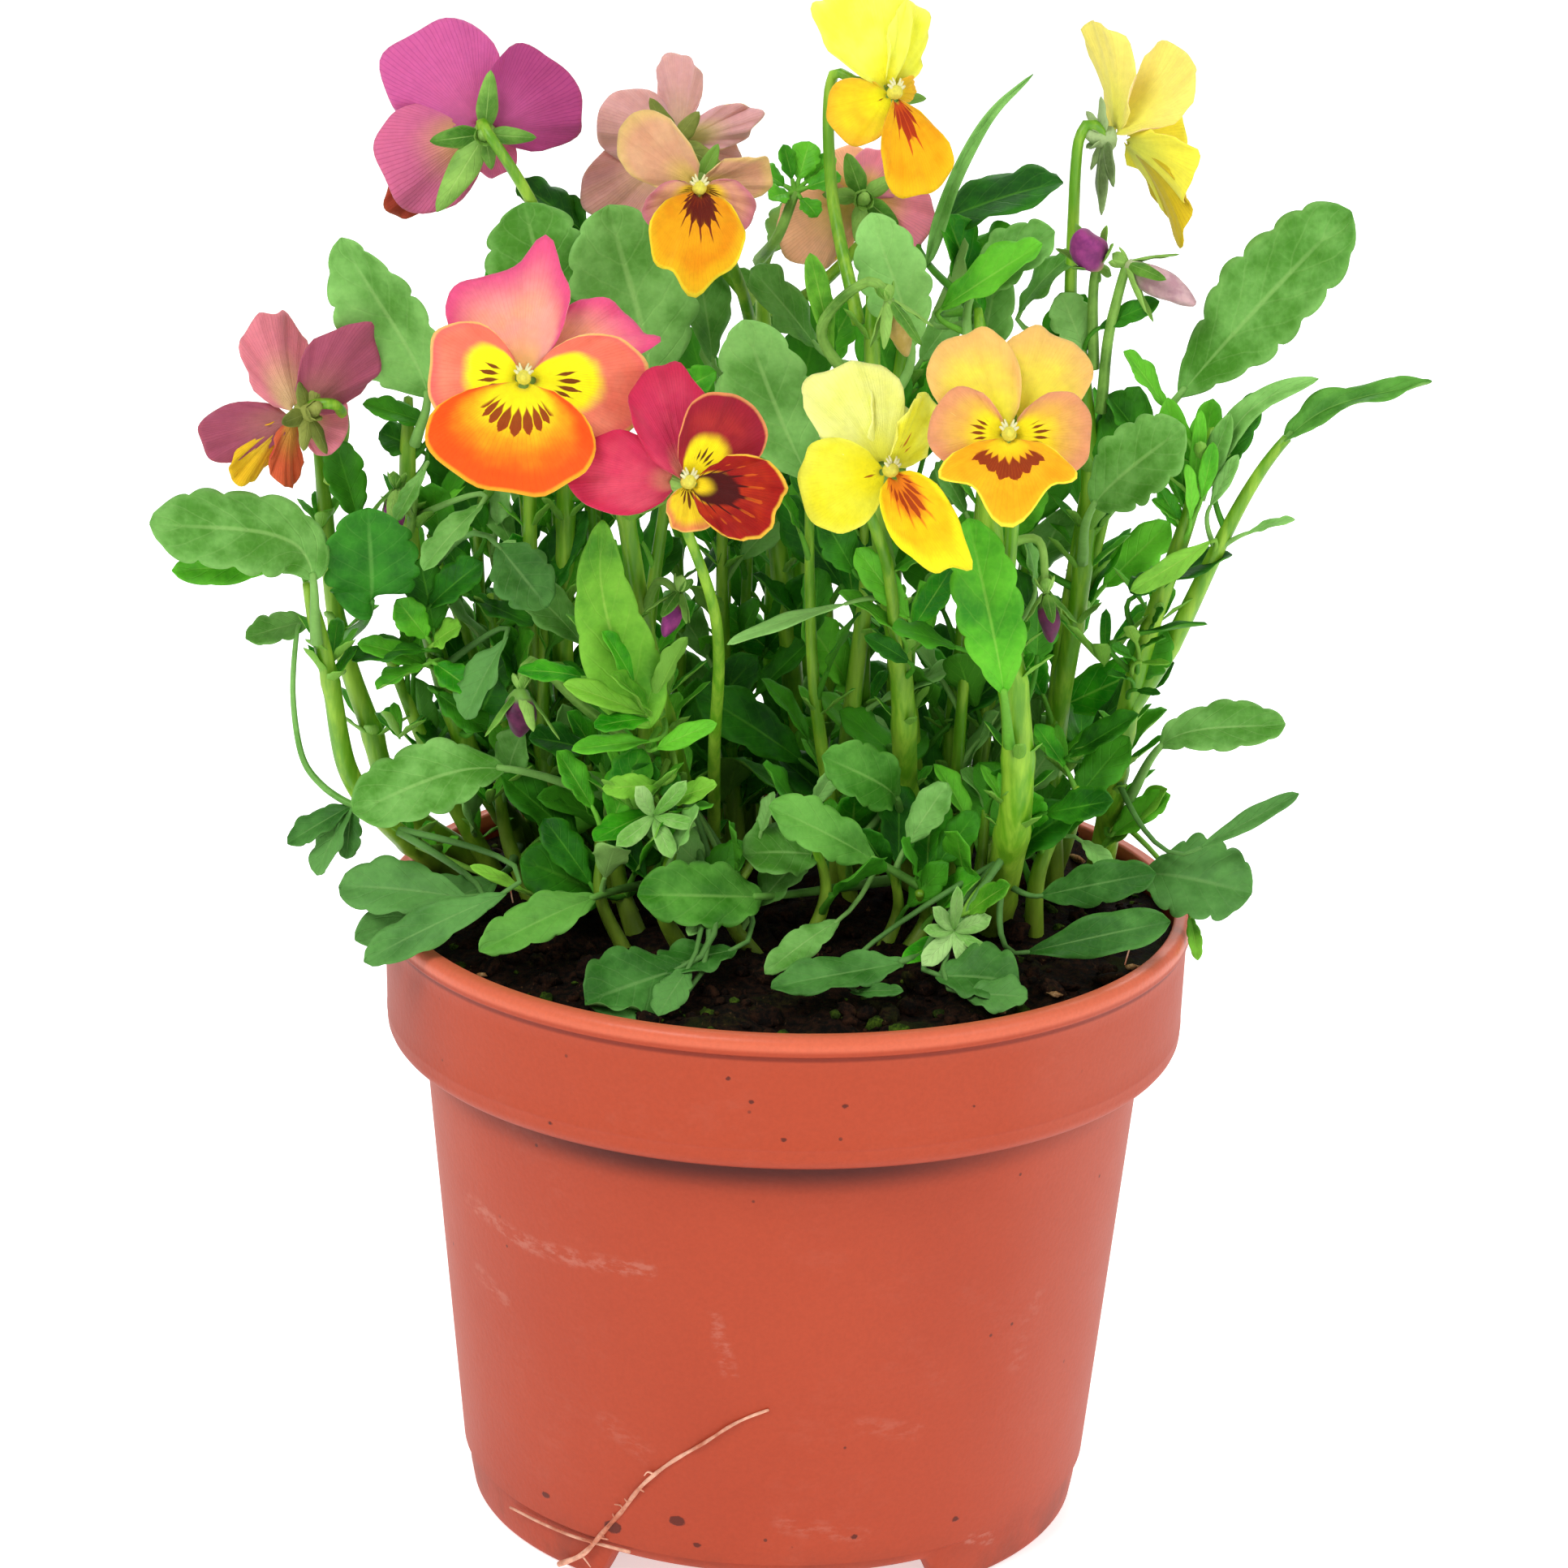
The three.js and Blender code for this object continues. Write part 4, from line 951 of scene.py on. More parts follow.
def blade_grid(path, faces, width, rows, columns, widest=0.5, base=0.9, point=2.2, teeth=6,
               tooth=0.09, fold=0.18, arch=0.0, ruffle=0.5, quilt=0.22, phase=0.0, groove=0.3):
    """A leaf blade's surface along path, with its width, teeth, fold and relief."""
    line = resample(path, rows)
    share = np.linspace(0, 1, rows)
    heading = np.gradient(line, axis=0)
    if len(faces) != rows:
        faces = read_off(share, np.linspace(0, 1, len(faces)), np.asarray(faces))
    rise = np.sin(math.pi / 2 * np.clip(share / widest, 0, 1)) ** base
    fall = (1 - np.clip((share - widest) / (1 - widest), 0, 1) ** point) ** 0.56
    half = width / 2 * np.maximum(np.where(share < widest, rise, fall), 0.035)
    v = np.linspace(-1, 1, columns)
    length = np.linalg.norm(np.diff(line, axis=0), axis=1).sum()
    grid = np.zeros((rows, columns, 3))
    for k in range(rows):
        face = square_to(faces[k], heading[k])
        across = np.cross(face, unit(heading[k]))
        envelope = float(ease(share[k], 0.04, 0.2) * ease(share[k], 1.0, 0.93))
        for j, place in enumerate(v):
            side = 0.17 if place > 0 else 0.0
            scallop = abs(math.sin(math.pi * (share[k] * teeth + side + phase))) ** 0.45
            margin = 1 - tooth * (1 - scallop) * envelope * abs(place) ** 4
            y = place * half[k] * margin
            vein = share[k] * LEAF_VEINS - abs(place) * LEAF_VEIN_SLANT
            lift = fold * abs(y) - groove * math.exp(-(y / 0.7) ** 2)
            lift += quilt * (abs(math.sin(math.pi * vein)) ** 0.7 - 0.6) * (
                ease(abs(place), 0.05, 0.25) * ease(abs(place), 1.0, 0.85))
            wave = math.sin(2 * math.pi * (share[k] * 2.2 + phase + 0.31 * (place > 0)))
            lift += ruffle * abs(place) ** 3 * wave * envelope
            lift += arch * length * 4 * share[k] * (1 - share[k])
            grid[k, j] = line[k] + across * y + face * lift
    return grid, share[:, None], v[None, :]


def leaf_shells(path, faces, width, size, tint, blade_from=0.0, petiole=0.65, **shape):
    """A leaf: its petiole up to blade_from along path, then its blade."""
    rows, columns, rings, thickness = LEAF_SIZES[size]
    path = resample(path, LEAF_STEPS)
    start = int(blade_from * (LEAF_STEPS - 1))
    faces = np.asarray(faces, float)
    if len(faces) > 1:
        wanted = np.linspace(start / (LEAF_STEPS - 1), 1, rows)
        faces = read_off(wanted, np.linspace(0, 1, len(faces)), faces)
    else:
        faces = np.repeat(faces, rows, axis=0)
    grid, along, across = blade_grid(path[start:], faces, width, rows, columns, **shape)
    shells = [sheet_shell(grid, thickness, along, across, tint)]
    if start > 2:
        tube = tapered(path[:min(start + 3, LEAF_STEPS - 1)], max(5, min(rings, start // 2)),
                       petiole * 1.25, petiole * 0.7, PETIOLE_SIDES, PETIOLE_SHADE_TINT)
        tube[2][:, 0] = 0.3
        tube[2][:, 1] = 0.5
        shells.append(tube)
    return shells


LEAF_MATERIALS = {look: leaf_material("leaf_" + look, values)
                  for look, values in LEAF_LOOKS.items()}
# How the CAD's leaves look: kind, and shape where it isn't the usual one.
CAD_LEAVES = {
    "tall_right": ("grey", dict(teeth=6.9, fold=0.10, widest=0.56, base=0.8)),
    "broad_left": ("grey", dict(teeth=5.6, fold=-0.10, widest=0.5, base=0.6)),
    "round_left": ("blue_green", dict(teeth=5.6, fold=0.12, widest=0.46, base=0.38, ruffle=0.8)),
    "folded_left": ("grey", dict(teeth=6.2, fold=0.45, widest=0.42, base=0.6, point=1.9)),
    "back_left": ("grey", dict(teeth=5.6, fold=0.10)),
    "broad_middle": ("grey", dict(teeth=6.2, fold=0.12, base=0.7)),
    "centre_top": ("grey", dict(teeth=5.6, fold=0.25)),
    "right_top": ("grey", dict(teeth=5.0, fold=0.15)),
    "tall_centre": ("grey", dict(teeth=5.6, fold=0.15)),
    "dusky_right": ("grey", dict(teeth=5.6, fold=0.08, base=0.7)),
    "far_right": ("mid", dict(teeth=3.4, fold=0.30, widest=0.3, base=0.6, point=1.5)),
    "low_right": ("grey", dict(teeth=5.0, fold=0.22, widest=0.55)),
    "rim_right": ("dusk", dict(teeth=5.6, fold=0.16)),
    "low_left": ("grey", dict(teeth=5.6, fold=0.12, widest=0.55)),
    "rim_left": ("dusk", dict(teeth=5.6, fold=0.15)),
    "front_left": ("mid", dict(teeth=5.0, fold=0.25)),
    "front_middle": ("mid", dict(teeth=5.6, fold=0.12, base=0.7)),
    "front_diagonal": ("mid", dict(teeth=5.6, fold=0.15, widest=0.55)),
    "small_centre": ("mid", dict(teeth=5.0, fold=0.2)),
    "soil_front": ("dusk", dict(teeth=5.0, fold=0.15)),
    "upright_right": ("fresh", dict(teeth=5.6, fold=0.25, widest=0.5)),
}


def cad_leaf(node):
    """A CAD leaf's centre line, facings, width and where its blade begins."""
    rings = loft_rings(node)
    if stem_gap(rings[-1].mean(0)) < stem_gap(rings[0].mean(0)):
        rings = rings[::-1]
    centres = np.array([ring.mean(0) for ring in rings])
    spans = []
    for ring in rings:
        one, two = ring[2] - ring[0], ring[3] - ring[1]
        span = one if np.linalg.norm(one) > np.linalg.norm(two) else two
        if spans and np.dot(span, spans[-1]) < 0:
            span = -span
        spans.append(span)
    widths = np.linalg.norm(spans, axis=1)
    heading = np.gradient(centres, axis=0)
    faces = np.cross(heading, spans)
    faces /= np.linalg.norm(faces, axis=1, keepdims=True)
    if (faces[4:] @ FACE).mean() < 0:
        faces = -faces
    steps = np.r_[0, np.cumsum(np.linalg.norm(np.diff(centres, axis=0), axis=1))]
    steps /= steps[-1]
    start = np.interp(0.42, widths[:widths.argmax() + 1] / widths.max(),
                      steps[:widths.argmax() + 1])
    return centres, faces, widths.max(), max(0.0, start - 0.05)


leaf_chance = np.random.default_rng(17)
for name, (look, shape) in CAD_LEAVES.items():
    centres, faces, width, start = cad_leaf("leaf_" + name)
    shape = dict(tooth=0.19, quilt=0.13, ruffle=0.7, phase=leaf_chance.uniform(0, 1),
                 point=2.5) | shape
    shells = leaf_shells(centres, faces, width, "main", leaf_chance.uniform(0.3, 0.8), start,
                         0.8, **shape)
    add_piece("blade_" + name, shells, LEAF_MATERIALS[look], ("leaf_" + name,))

# The far right leaf sits on a side branch that is as thick as a stem low down.
centres, _, _, start = cad_leaf("leaf_far_right")
branch = resample(centres, LEAF_STEPS)[:int(start * (LEAF_STEPS - 1)) + 2]
branch = resample(np.vstack([nearest_stem(branch[0], 7.0), branch[4:]]), 30)
add_piece("side_branch", [tube_shell(branch, np.linspace(1.8, 0.8, len(branch)), 12, ridge=0.06,
                                     ridges=4)], green_stem)
all_stem_points = np.vstack([all_stem_points, branch[8:]])

# Smaller leaves: where the blade begins, where it ends, its width and its kind.
SMALL_LEAVES = {
    "left_high": [
        ((-78, -14, 159), (-95, -24, 160), 5, "fresh"),
        ((-76, -5, 147), (-85.5, -10, 145.4), 5, "grey"),
        ((-69, 0, 163), (-72, -4, 176), 6, "deep"), ((-58, 4, 177), (-68, 0, 181), 4, "deep"),
        ((-59, 6, 172), (-66, 6, 175), 6, "deep"), ((-58, -4, 172), (-62, -10, 165), 3, "grey"),
        ((-49, -12, 168), (-57, -20, 160), 5, "grey"),
        ((-34, 12, 206), (-45, 12, 214), 7, "deep"),
    ],
    "left_middle": [
        ((-58, -6, 143), (-69, -9, 142), 6, "deep"),
        ((-56.5, -6, 144), (-52, -9, 148), 5, "lime"),
        ((-57.5, -6, 145), (-62, -9, 152), 5, "fresh"),
        ((-56.5, -5, 146), (-59, -3, 157), 7, "deep"),
        ((-57.5, -7, 141), (-65, -11, 138), 5, "fresh"),
        ((-56, -7, 141), (-50, -11, 138), 5, "fresh"),
        ((-57, -5, 150), (-49, -4, 157), 6, "deep"), ((-56, -6, 136), (-48, -9, 131), 6, "deep"),
        ((-46, -12, 162), (-38, -18, 154), 9, "dusk"),
        ((-50, -4, 130), (-46, -10, 140), 8, "deep"),
        ((-45, -10, 146), (-51, -13, 134), 7, "dusk"),
        ((-58, -4, 140), (-68, -10, 145), 4, "fresh"),
        ((-52, 2, 150), (-41, -4, 147), 6, "deep"),
        ((-33, -10, 146), (-45, -14, 159), 7, "grey"),
        ((-22.4, -20, 137.7), (-35, -26, 144.2), 3.7, "lime"),
        ((-32, -22, 144), (-42, -26, 146), 4, "fresh"),
        ((-22, -20, 137), (-30, -28, 138), 4, "fresh"),
        ((-32, -8, 128), (-41, -12, 131), 6, "deep"),
        ((-21.7, -20, 133.5), (-33.6, -26, 133.6), 3.4, "fresh"),
        ((-21, -20, 132.1), (-11.5, -26, 138.5), 3.4, "fresh"),
        ((-23.8, -20, 141.2), (-29.2, -24, 152.1), 4.3, "fresh"),
        ((-21.1, -20, 140.6), (-16.5, -24, 151.7), 3.7, "fresh"),
        ((-20.2, -20, 126.4), (-28.8, -26, 127.4), 3.7, "lime"),
        ((-19.2, -20, 123.5), (-11.3, -26, 128.6), 3.7, "lime"),
        ((-21.7, -20, 137.7), (-27.6, -28, 146.4), 4.3, "lime"),
    ],
    "left_low": [
        ((-20, -16, 121), (-30, -26, 119), 5, "fresh"),
        ((-19, -16, 120), (-12, -26, 125), 4, "fresh"),
        ((5, -16, 114), (-7, -22, 116), 10, "grey"),
        ((-50, -26, 109), (-70, -22, 109), 9, "dusk"),
        ((-44, -30, 111), (-65, -34, 101), 6.5, "dusk"),
        ((-29, -12, 105), (-42, -16, 112), 11, "deep"),
        ((-41, -22, 109), (-49, -28, 115), 2, "lime"),
        ((-27, -10, 121), (-35, -14, 125), 4, "grey"),
        ((-11, -24, 109), (-15, -32, 106), 3, "grey"),
        ((-69.5, -6, 117), (-74.7, -10, 106.5), 5.5, "dusk"),
        ((-69.5, -6, 117), (-79.5, -8, 111), 5, "dusk"),
        ((-69.5, -6, 117), (-70, -9, 109), 4, "dusk"),
    ],
    "front_low": [
        ((-16, -39, 103), (-30, -49, 101), 12, "dusk"),
        ((24, -37, 102), (36, -39, 102), 11, "dusk"),
        ((8, -22, 157), (-10, -32, 153), 2.6, "grey"),
        ((-8, -30, 103), (-19, -40, 103), 8, "dusk"),
        ((-20, -46, 98.5), (-30, -50, 101), 7, "dusk"),
        ((-15, -40, 103), (-19, -50, 99.5), 5, "dusk"),
        ((11, -42, 101), (18, -46, 103), 2.5, "dusk"),
        ((8, -24, 106), (-3, -36, 101.5), 5, "grey"),
        ((26, -26, 105), (18, -36, 104), 3.2, "fresh"),
    ],
    "middle": [
        ((37, -16, 159), (35, -18, 167), 4, "grey"), ((25, -24, 151), (15, -28, 155), 6, "deep"),
        ((38, -12, 146), (38, -12, 155), 6, "deep"),
        ((15, -18, 161), (23, -22, 166), 5.5, "fresh"),
        ((9, -18, 161), (4, -20, 170), 6, "deep"), ((-10, 4, 173), (-7, 2, 192), 9, "grey"),
        ((-19, -4, 185), (-13, -6, 189), 4.5, "fresh"),
        ((28, -30, 110), (34, -36, 117), 4, "lime"),
        ((17.8, -16, 153.1), (9.3, -20, 165.2), 4.8, "fresh"),
        ((18.5, -16, 151.7), (24.1, -20, 162.8), 4.3, "fresh"),
        ((16.5, -16, 150.3), (6.8, -20, 158.2), 4.0, "fresh"),
        ((18, -16, 146.1), (11, -20, 151.3), 3.1, "deep"),
    ],
    "right_middle": [
        ((64.6, -8, 164.6), (52, -13, 157.6), 3.8, "lime"),
        ((53, -4, 154), (68, -6, 162), 6.5, "deep"), ((50, -8, 148), (64, -14, 153), 3, "deep"),
        ((54, -4, 141), (58, -6, 150), 7, "deep"), ((44, -8, 129), (54, -14, 138), 4.5, "deep"),
        ((40, -16, 122), (50, -24, 127), 5.5, "deep"), ((50, 4, 109), (60, -2, 122), 5, "lime"),
        ((46, -14, 117), (51, -20, 114), 3, "grey"),
        ((54.3, -9, 145), (58.6, -12, 145.9), 1.4, "lime"),
        ((53.9, -9, 140.4), (57.4, -12, 140.9), 1.4, "deep"),
        ((54.9, -8, 147.4), (57.8, -11, 149.8), 1.6, "deep"),
        ((53, -9, 145.7), (49.5, -12, 148.4), 2.0, "deep"),
        ((53.5, -9, 148.3), (51.9, -12, 151.8), 2.3, "lime"),
        ((56, -8, 150.7), (57.2, -11, 154.3), 2.0, "deep"),
        ((52.6, -8, 142), (49.2, -11, 143.5), 2.0, "deep"),
        ((56.9, -8, 158.7), (52.1, -11, 156.8), 3.9, "deep"),
    ],
    "right_low": [
        ((64, -16, 116.5), (79.3, -18, 127), 3, "dusk"),
        ((37, -28, 103), (59, -34, 111), 6.5, "dusk"),
        ((52, 0, 113.5), (60.6, -2, 121), 5, "fresh"),
        ((40, -18, 109), (57, -26, 116), 6.5, "dusk"),
        ((28, -42, 101), (37, -45, 102), 7, "dusk"),
        ((64, -12, 104), (65, -18, 99), 2.2, "lime"),
    ],
    "top": [
        ((20, 12, 209), (40, 9, 217), 11, "deep"), ((21, -8, 200), (36, -14, 212), 7, "fresh"),
        ((2, 2, 192), (-8, 0, 204), 10, "grey"), ((22, 8, 198), (33, 5, 210), 9, "fresh"),
        ((20.5, 3, 197), (25, 3, 209), 6, "grey"), ((5, -14, 194), (1, -16, 210), 3.4, "lime"),
        ((-5, 22, 202), (-1, 24, 210), 6, "grey"),
    ],
    "behind_top": [
        ((34, 6, 197), (42, 4, 207), 7, "grey"), ((28, 8, 186), (31, 8, 205), 9, "grey"),
        ((38, 6, 180), (44, 6, 200), 8, "fresh"), ((-14, 14, 186), (-18, 14, 206), 10, "grey"),
        ((-30, 16, 182), (-33, 16, 204), 11, "grey"), ((0, 12, 178), (3, 12, 196), 9, "deep"),
        ((48, 4, 168), (53, 4, 186), 8, "deep"), ((20, 12, 172), (24, 12, 190), 8, "deep"),
        ((-44, 10, 172), (-50, 10, 192), 9, "grey"), ((-50, 12, 158), (-58, 10, 174), 8, "deep"),
        ((36, 10, 160), (42, 10, 178), 8, "deep"), ((-20, 10, 170), (-26, 10, 190), 9, "deep"),
        ((16, 4, 180), (10, 4, 198), 8, "deep"), ((28, 6, 196), (22, 6, 212), 8, "fresh"),
        ((-40, 14, 196), (-36, 14, 212), 9, "deep"),
    ],
    "right_high": [
        ((44, 2, 192), (40, 2, 201), 6.5, "grey"), ((46, 0, 196), (55, -2, 201), 3.5, "deep"),
        ((57, -2, 184), (50, -2, 193), 4.6, "fresh"), ((53, 2, 179), (48, 2, 185), 6, "deep"),
        ((65, -6, 174), (70.5, -6, 188), 4.4, "deep"),
        ((70, -8, 166), (77, -10, 169), 2.2, "grey"),
        ((60.9, -8, 169.9), (61.6, -11, 186.1), 2.3, "fresh"),
        ((60.5, -3, 168), (57, -3, 186), 5, "fresh"), ((62, -3, 169), (64, -3, 186), 5, "fresh"),
        ((61, -9, 168), (59.6, -13, 178), 2.6, "fresh"),
        ((61.8, -7, 169.9), (66.2, -10, 185.4), 3.6, "grey"),
        ((60.4, -6, 169.3), (58, -9, 183), 3.3, "fresh"),
        ((59.8, -6, 166), (55.8, -9, 173.2), 3.0, "fresh"),
        ((62.5, -9, 171.5), (63.6, -12, 181.3), 2.6, "fresh"),
        ((63.9, -8, 169.9), (67.6, -11, 179.2), 2.3, "grey"),
        ((59, -7, 167.6), (54.9, -10, 171.5), 2.2, "fresh"),
    ],
}


def small_leaf(base, tip, width, size, chance, tint, foot=None):
    """The shells of a leaf whose petiole comes from the nearest stem."""
    base, tip = np.array(base, float), np.array(tip, float)
    foot = nearest_stem(base) if foot is None else foot
    reach = np.linalg.norm(tip - base)
    heading = unit(tip - base)
    gap = np.linalg.norm(base - foot)
    knee = base - heading * gap * 0.35
    knee[2] = max(knee[2], KNEE_FLOOR)
    # The petiole is one smooth bend that runs into the blade's own direction.
    share = np.linspace(0, 1, 16)[:, None]
    bend = (1 - share) ** 2 * foot + 2 * share * (1 - share) * knee + share ** 2 * base
    blade = base + np.linspace(0, 1, 9)[1:, None] * (tip - base)
    path = resample([*bend, *blade], 60)
    lengths = np.r_[0, np.cumsum(np.linalg.norm(np.diff(path, axis=0), axis=1))]
    start = lengths[np.argmin(np.linalg.norm(path - base, axis=1))] / lengths[-1]
    face = unit(FACE + chance.normal(0, 0.28, 3))
    slim = width < reach * 0.3
    shape = dict(
        teeth=3 if slim else 4, tooth=0.08 if slim else 0.22, fold=chance.uniform(0.05, 0.35),
        widest=chance.uniform(0.48, 0.64), base=1.2 if slim else chance.uniform(0.7, 1.1),
        point=chance.uniform(2.1, 2.8),
        arch=chance.uniform(0.0, 0.06), ruffle=min(0.6, width * 0.07), quilt=0.015 * width,
        phase=chance.uniform(0, 1), groove=0.15,
    )
    return leaf_shells(path, [square_to(face, heading)], width, size, tint, start,
                       0.38 + 0.02 * width, **shape)


small_chance = np.random.default_rng(23)
for group, leaves in SMALL_LEAVES.items():
    by_look = {}
    for base, tip, width, look in leaves:
        shells = small_leaf(base, tip, width * 1.1, "extra", small_chance,
                            small_chance.uniform(0.2, 0.9))
        by_look.setdefault(look, []).extend(shells)
    for look, shells in by_look.items():
        add_piece(f"leaflets_{group}_{look}", shells, LEAF_MATERIALS[look])

# Thin inner shoots fill the clump behind the leaves that are placed one by one.
INNER_SHOOTS = 26
SHOOT_SPAN = (-43, 46)   # where their feet are, across
SHOOT_DEPTH = (4, 36)    # and from front to back
SHOOT_TIPS = (150, 200)  # how high they reach in the middle
SHOOT_LOOKS = ("deep", "fresh", "deep", "fresh", "grey")
SHOOT_FOOT, LOW_FOOT = 96, 97  # heights at which the tall and the low ones start
SHOOT_STEPS = 40
LOW_SHOOTS = 22          # short ones all round the clump's foot
SHOOT_PARTS = 3          # pieces that each kind is shared out over
inner_chance = np.random.default_rng(37)
shoot_tubes, shoot_leaves = [], {}


def grow_shoot(foot, tip, chance, leaves, first=0.12, size=(12, 21), slim=(0.34, 0.5)):
    """A thin shoot with leaves in a spiral all along it."""
    foot, tip = np.array(foot, float), np.array(tip, float)
    bend = (foot + tip) / 2 + chance.normal(0, 3.0, 3) * (1, 1, 0)
    path = resample([foot, bend, tip], SHOOT_STEPS)
    radii = np.linspace(1.5, 0.7, SHOOT_STEPS) * chance.uniform(0.85, 1.25)
    shoot_tubes.append(tube_shell(path, radii, 9, chance.uniform(0.1, 0.9), ridge=0.05, ridges=3))
    spin = chance.uniform(0, 2 * math.pi)
    for k in range(leaves):
        share = first + (0.99 - first) * (k + chance.uniform(-0.3, 0.3)) / max(leaves - 1, 1)
        spot = path[int(np.clip(share, 0, 1) * (SHOOT_STEPS - 1))]
        spin += 2.4 + chance.normal(0, 0.3)
        out = np.array([math.cos(spin), math.sin(spin) * 0.8, 0])
        rise = chance.uniform(0.5, 1.5) + 1.2 * share ** 2
        heading = unit(out + UP * rise)
        length = chance.uniform(*size) * (1.15 - 0.45 * share)
        base = spot + heading * length * 0.45 + UP * 0.5
        end = spot + heading * length * 1.4 + out * length * 0.12
        for point in (base, end):
            point[2] = max(point[2], LEAF_FLOOR)
            point[:2] *= min(1.0, PLANT_REACH / max(np.linalg.norm(point[:2]), 1))
        look = SHOOT_LOOKS[chance.integers(len(SHOOT_LOOKS))]
        shells = small_leaf(base, end, length * chance.uniform(*slim), "filler", chance,
                            chance.uniform(0.1, 0.9), spot)
        shoot_leaves.setdefault(look, []).extend(shells)
    return path


shoot_paths = []
for k in range(INNER_SHOOTS):
    x = SHOOT_SPAN[0] + (SHOOT_SPAN[1] - SHOOT_SPAN[0]) * (k + 0.5) / INNER_SHOOTS
    foot = (x + inner_chance.normal(0, 2.0), inner_chance.uniform(*SHOOT_DEPTH), SHOOT_FOOT)
    tip = (foot[0] * 1.08 + inner_chance.normal(0, 5.0), foot[1] - inner_chance.uniform(0, 14),
           inner_chance.uniform(*SHOOT_TIPS) - 0.25 * abs(foot[0]))
    shoot_paths.append(grow_shoot(foot, tip, inner_chance, 8))
for foot, tip in (((-44, 22, 97), (-58, 8, 158)), ((-40, 26, 97), (-51, 10, 170)),
                  ((-36, 30, 97), (-45, 12, 180)), ((-47, 15, 97), (-64, 0, 140)),
                  ((-34, 20, 97), (-48, 2, 150)), ((44, 28, 97), (50, 12, 168))):
    shoot_paths.append(grow_shoot(foot, tip, inner_chance, 8))
for k in range(LOW_SHOOTS):
    angle = 2 * math.pi * (k + inner_chance.uniform(-0.3, 0.3)) / LOW_SHOOTS
    spread = inner_chance.uniform(18, 44)
    foot = (spread * math.cos(angle), max(-22, spread * math.sin(angle)) + 4, LOW_FOOT)
    tip = (foot[0] * 1.15, foot[1] * 1.1, inner_chance.uniform(108, 124))
    grow_shoot(foot, tip, inner_chance, 4, 0.3, (10, 17), (0.45, 0.62))
for part in range(SHOOT_PARTS):
    add_piece(f"inner_shoots_{part + 1}", shoot_tubes[part::SHOOT_PARTS], green_stem)
for look, shells in shoot_leaves.items():
    for part in range(SHOOT_PARTS):
        third = len(shells) // SHOOT_PARTS + 1
        add_piece(f"inner_leaves_{look}_{part + 1}", shells[part * third:(part + 1) * third],
                  LEAF_MATERIALS[look])


# ---- Stipules: tufts of slim lobes at the stems' nodes -------------------------------------------

def tuft(place, axis, chance, lobes=6, length=9.0, width=2.0, spread=0.9):
    shells = []
    start = chance.uniform(0, 2 * math.pi)
    side = square_to((0.3, -1, 0.2), axis)
    for k in range(lobes):
        out = turned(side, axis, start + 2 * math.pi * k / lobes + chance.normal(0, 0.25))
        reach = length * chance.uniform(0.6, 1.25)
        lean = spread * chance.uniform(0.6, 1.3)
        heading = unit(unit(axis) + out * lean)
        middle = place + heading * reach * 0.5 + out * reach * 0.08
        tip = place + heading * reach + out * reach * 0.22 + UP * reach * 0.05
        face = square_to(unit(axis) * 0.8 - out * 0.6 + UP * 0.4, heading)
        path = resample([place - heading * 0.4, middle, tip], 10)
        grid, along, across = blade_grid(
            path, [face] * 10, width * chance.uniform(0.8, 1.5), 10, 5, widest=0.66, base=0.8,
            point=2.4, teeth=1, tooth=0.0, fold=0.25, ruffle=0.15, quilt=0.0, groove=0.1)
        shells.append(sheet_shell(grid, 0.24, along, across, chance.uniform(0.2, 0.9)))
    return shells


# Tufts that are in plain sight: place, number of lobes, their length.
SEEN_TUFTS = (
    ((-24, -17, 121), 8, 11), ((-30, -16, 147), 6, 8),
    ((49, -4, 143), 7, 10), ((-62, -4, 128), 5, 7), ((-72, -10, 142), 5, 7),
    ((34, -20, 124), 5, 7), ((33, -20, 148), 5, 8), ((44, -2, 124), 5, 8),
    ((-20, -8, 137), 5, 8), ((-48, 0, 116), 5, 8), ((57, -4, 150), 5, 8),
    ((12, -13, 176), 5, 7), ((28, -12, 182), 5, 7), ((-37, 8, 180), 5, 7),
    ((-26, -14, 166), 5, 7), ((-60, 4, 160), 5, 7), ((-75, 4, 160), 5, 6),
)
tuft_chance = np.random.default_rng(41)
tufts = []
for place, lobes, length in SEEN_TUFTS:
    tufts += tuft(np.array(place, float), UP, tuft_chance, lobes, length)
add_piece("stipules_front", tufts, LEAF_MATERIALS["fresh"])
tufts = tuft(np.array((26, -31, 107.5)), (0.1, -0.75, 0.1), tuft_chance, 7, 7.0, 2.4, 1.1)
tufts += tuft(np.array((-21, -22, 122)), (0.2, -0.8, 0.1), tuft_chance, 5, 7.5, 3.0, 1.2)
add_piece("stipules_pale", tufts, LEAF_MATERIALS["pale"])
# A pointed leaf stands up above the pale tuft left of the middle.
blade = resample([(-21.5, -20, 135), (-27.0, -21, 147.9), (-29.6, -23, 159.6),
                  (-29.4, -25, 169.9)], 12)
shells = leaf_shells(blade, [unit((0.1, -0.9, 0.3))], 12.5, "main", 0.6, 0.02, 0.6, teeth=5,
                     tooth=0.12, fold=0.25, widest=0.26, base=0.7, point=1.35, ruffle=0.5,
                     quilt=0.1, phase=0.3)
add_piece("pointed_leaf", shells, LEAF_MATERIALS["lime"])
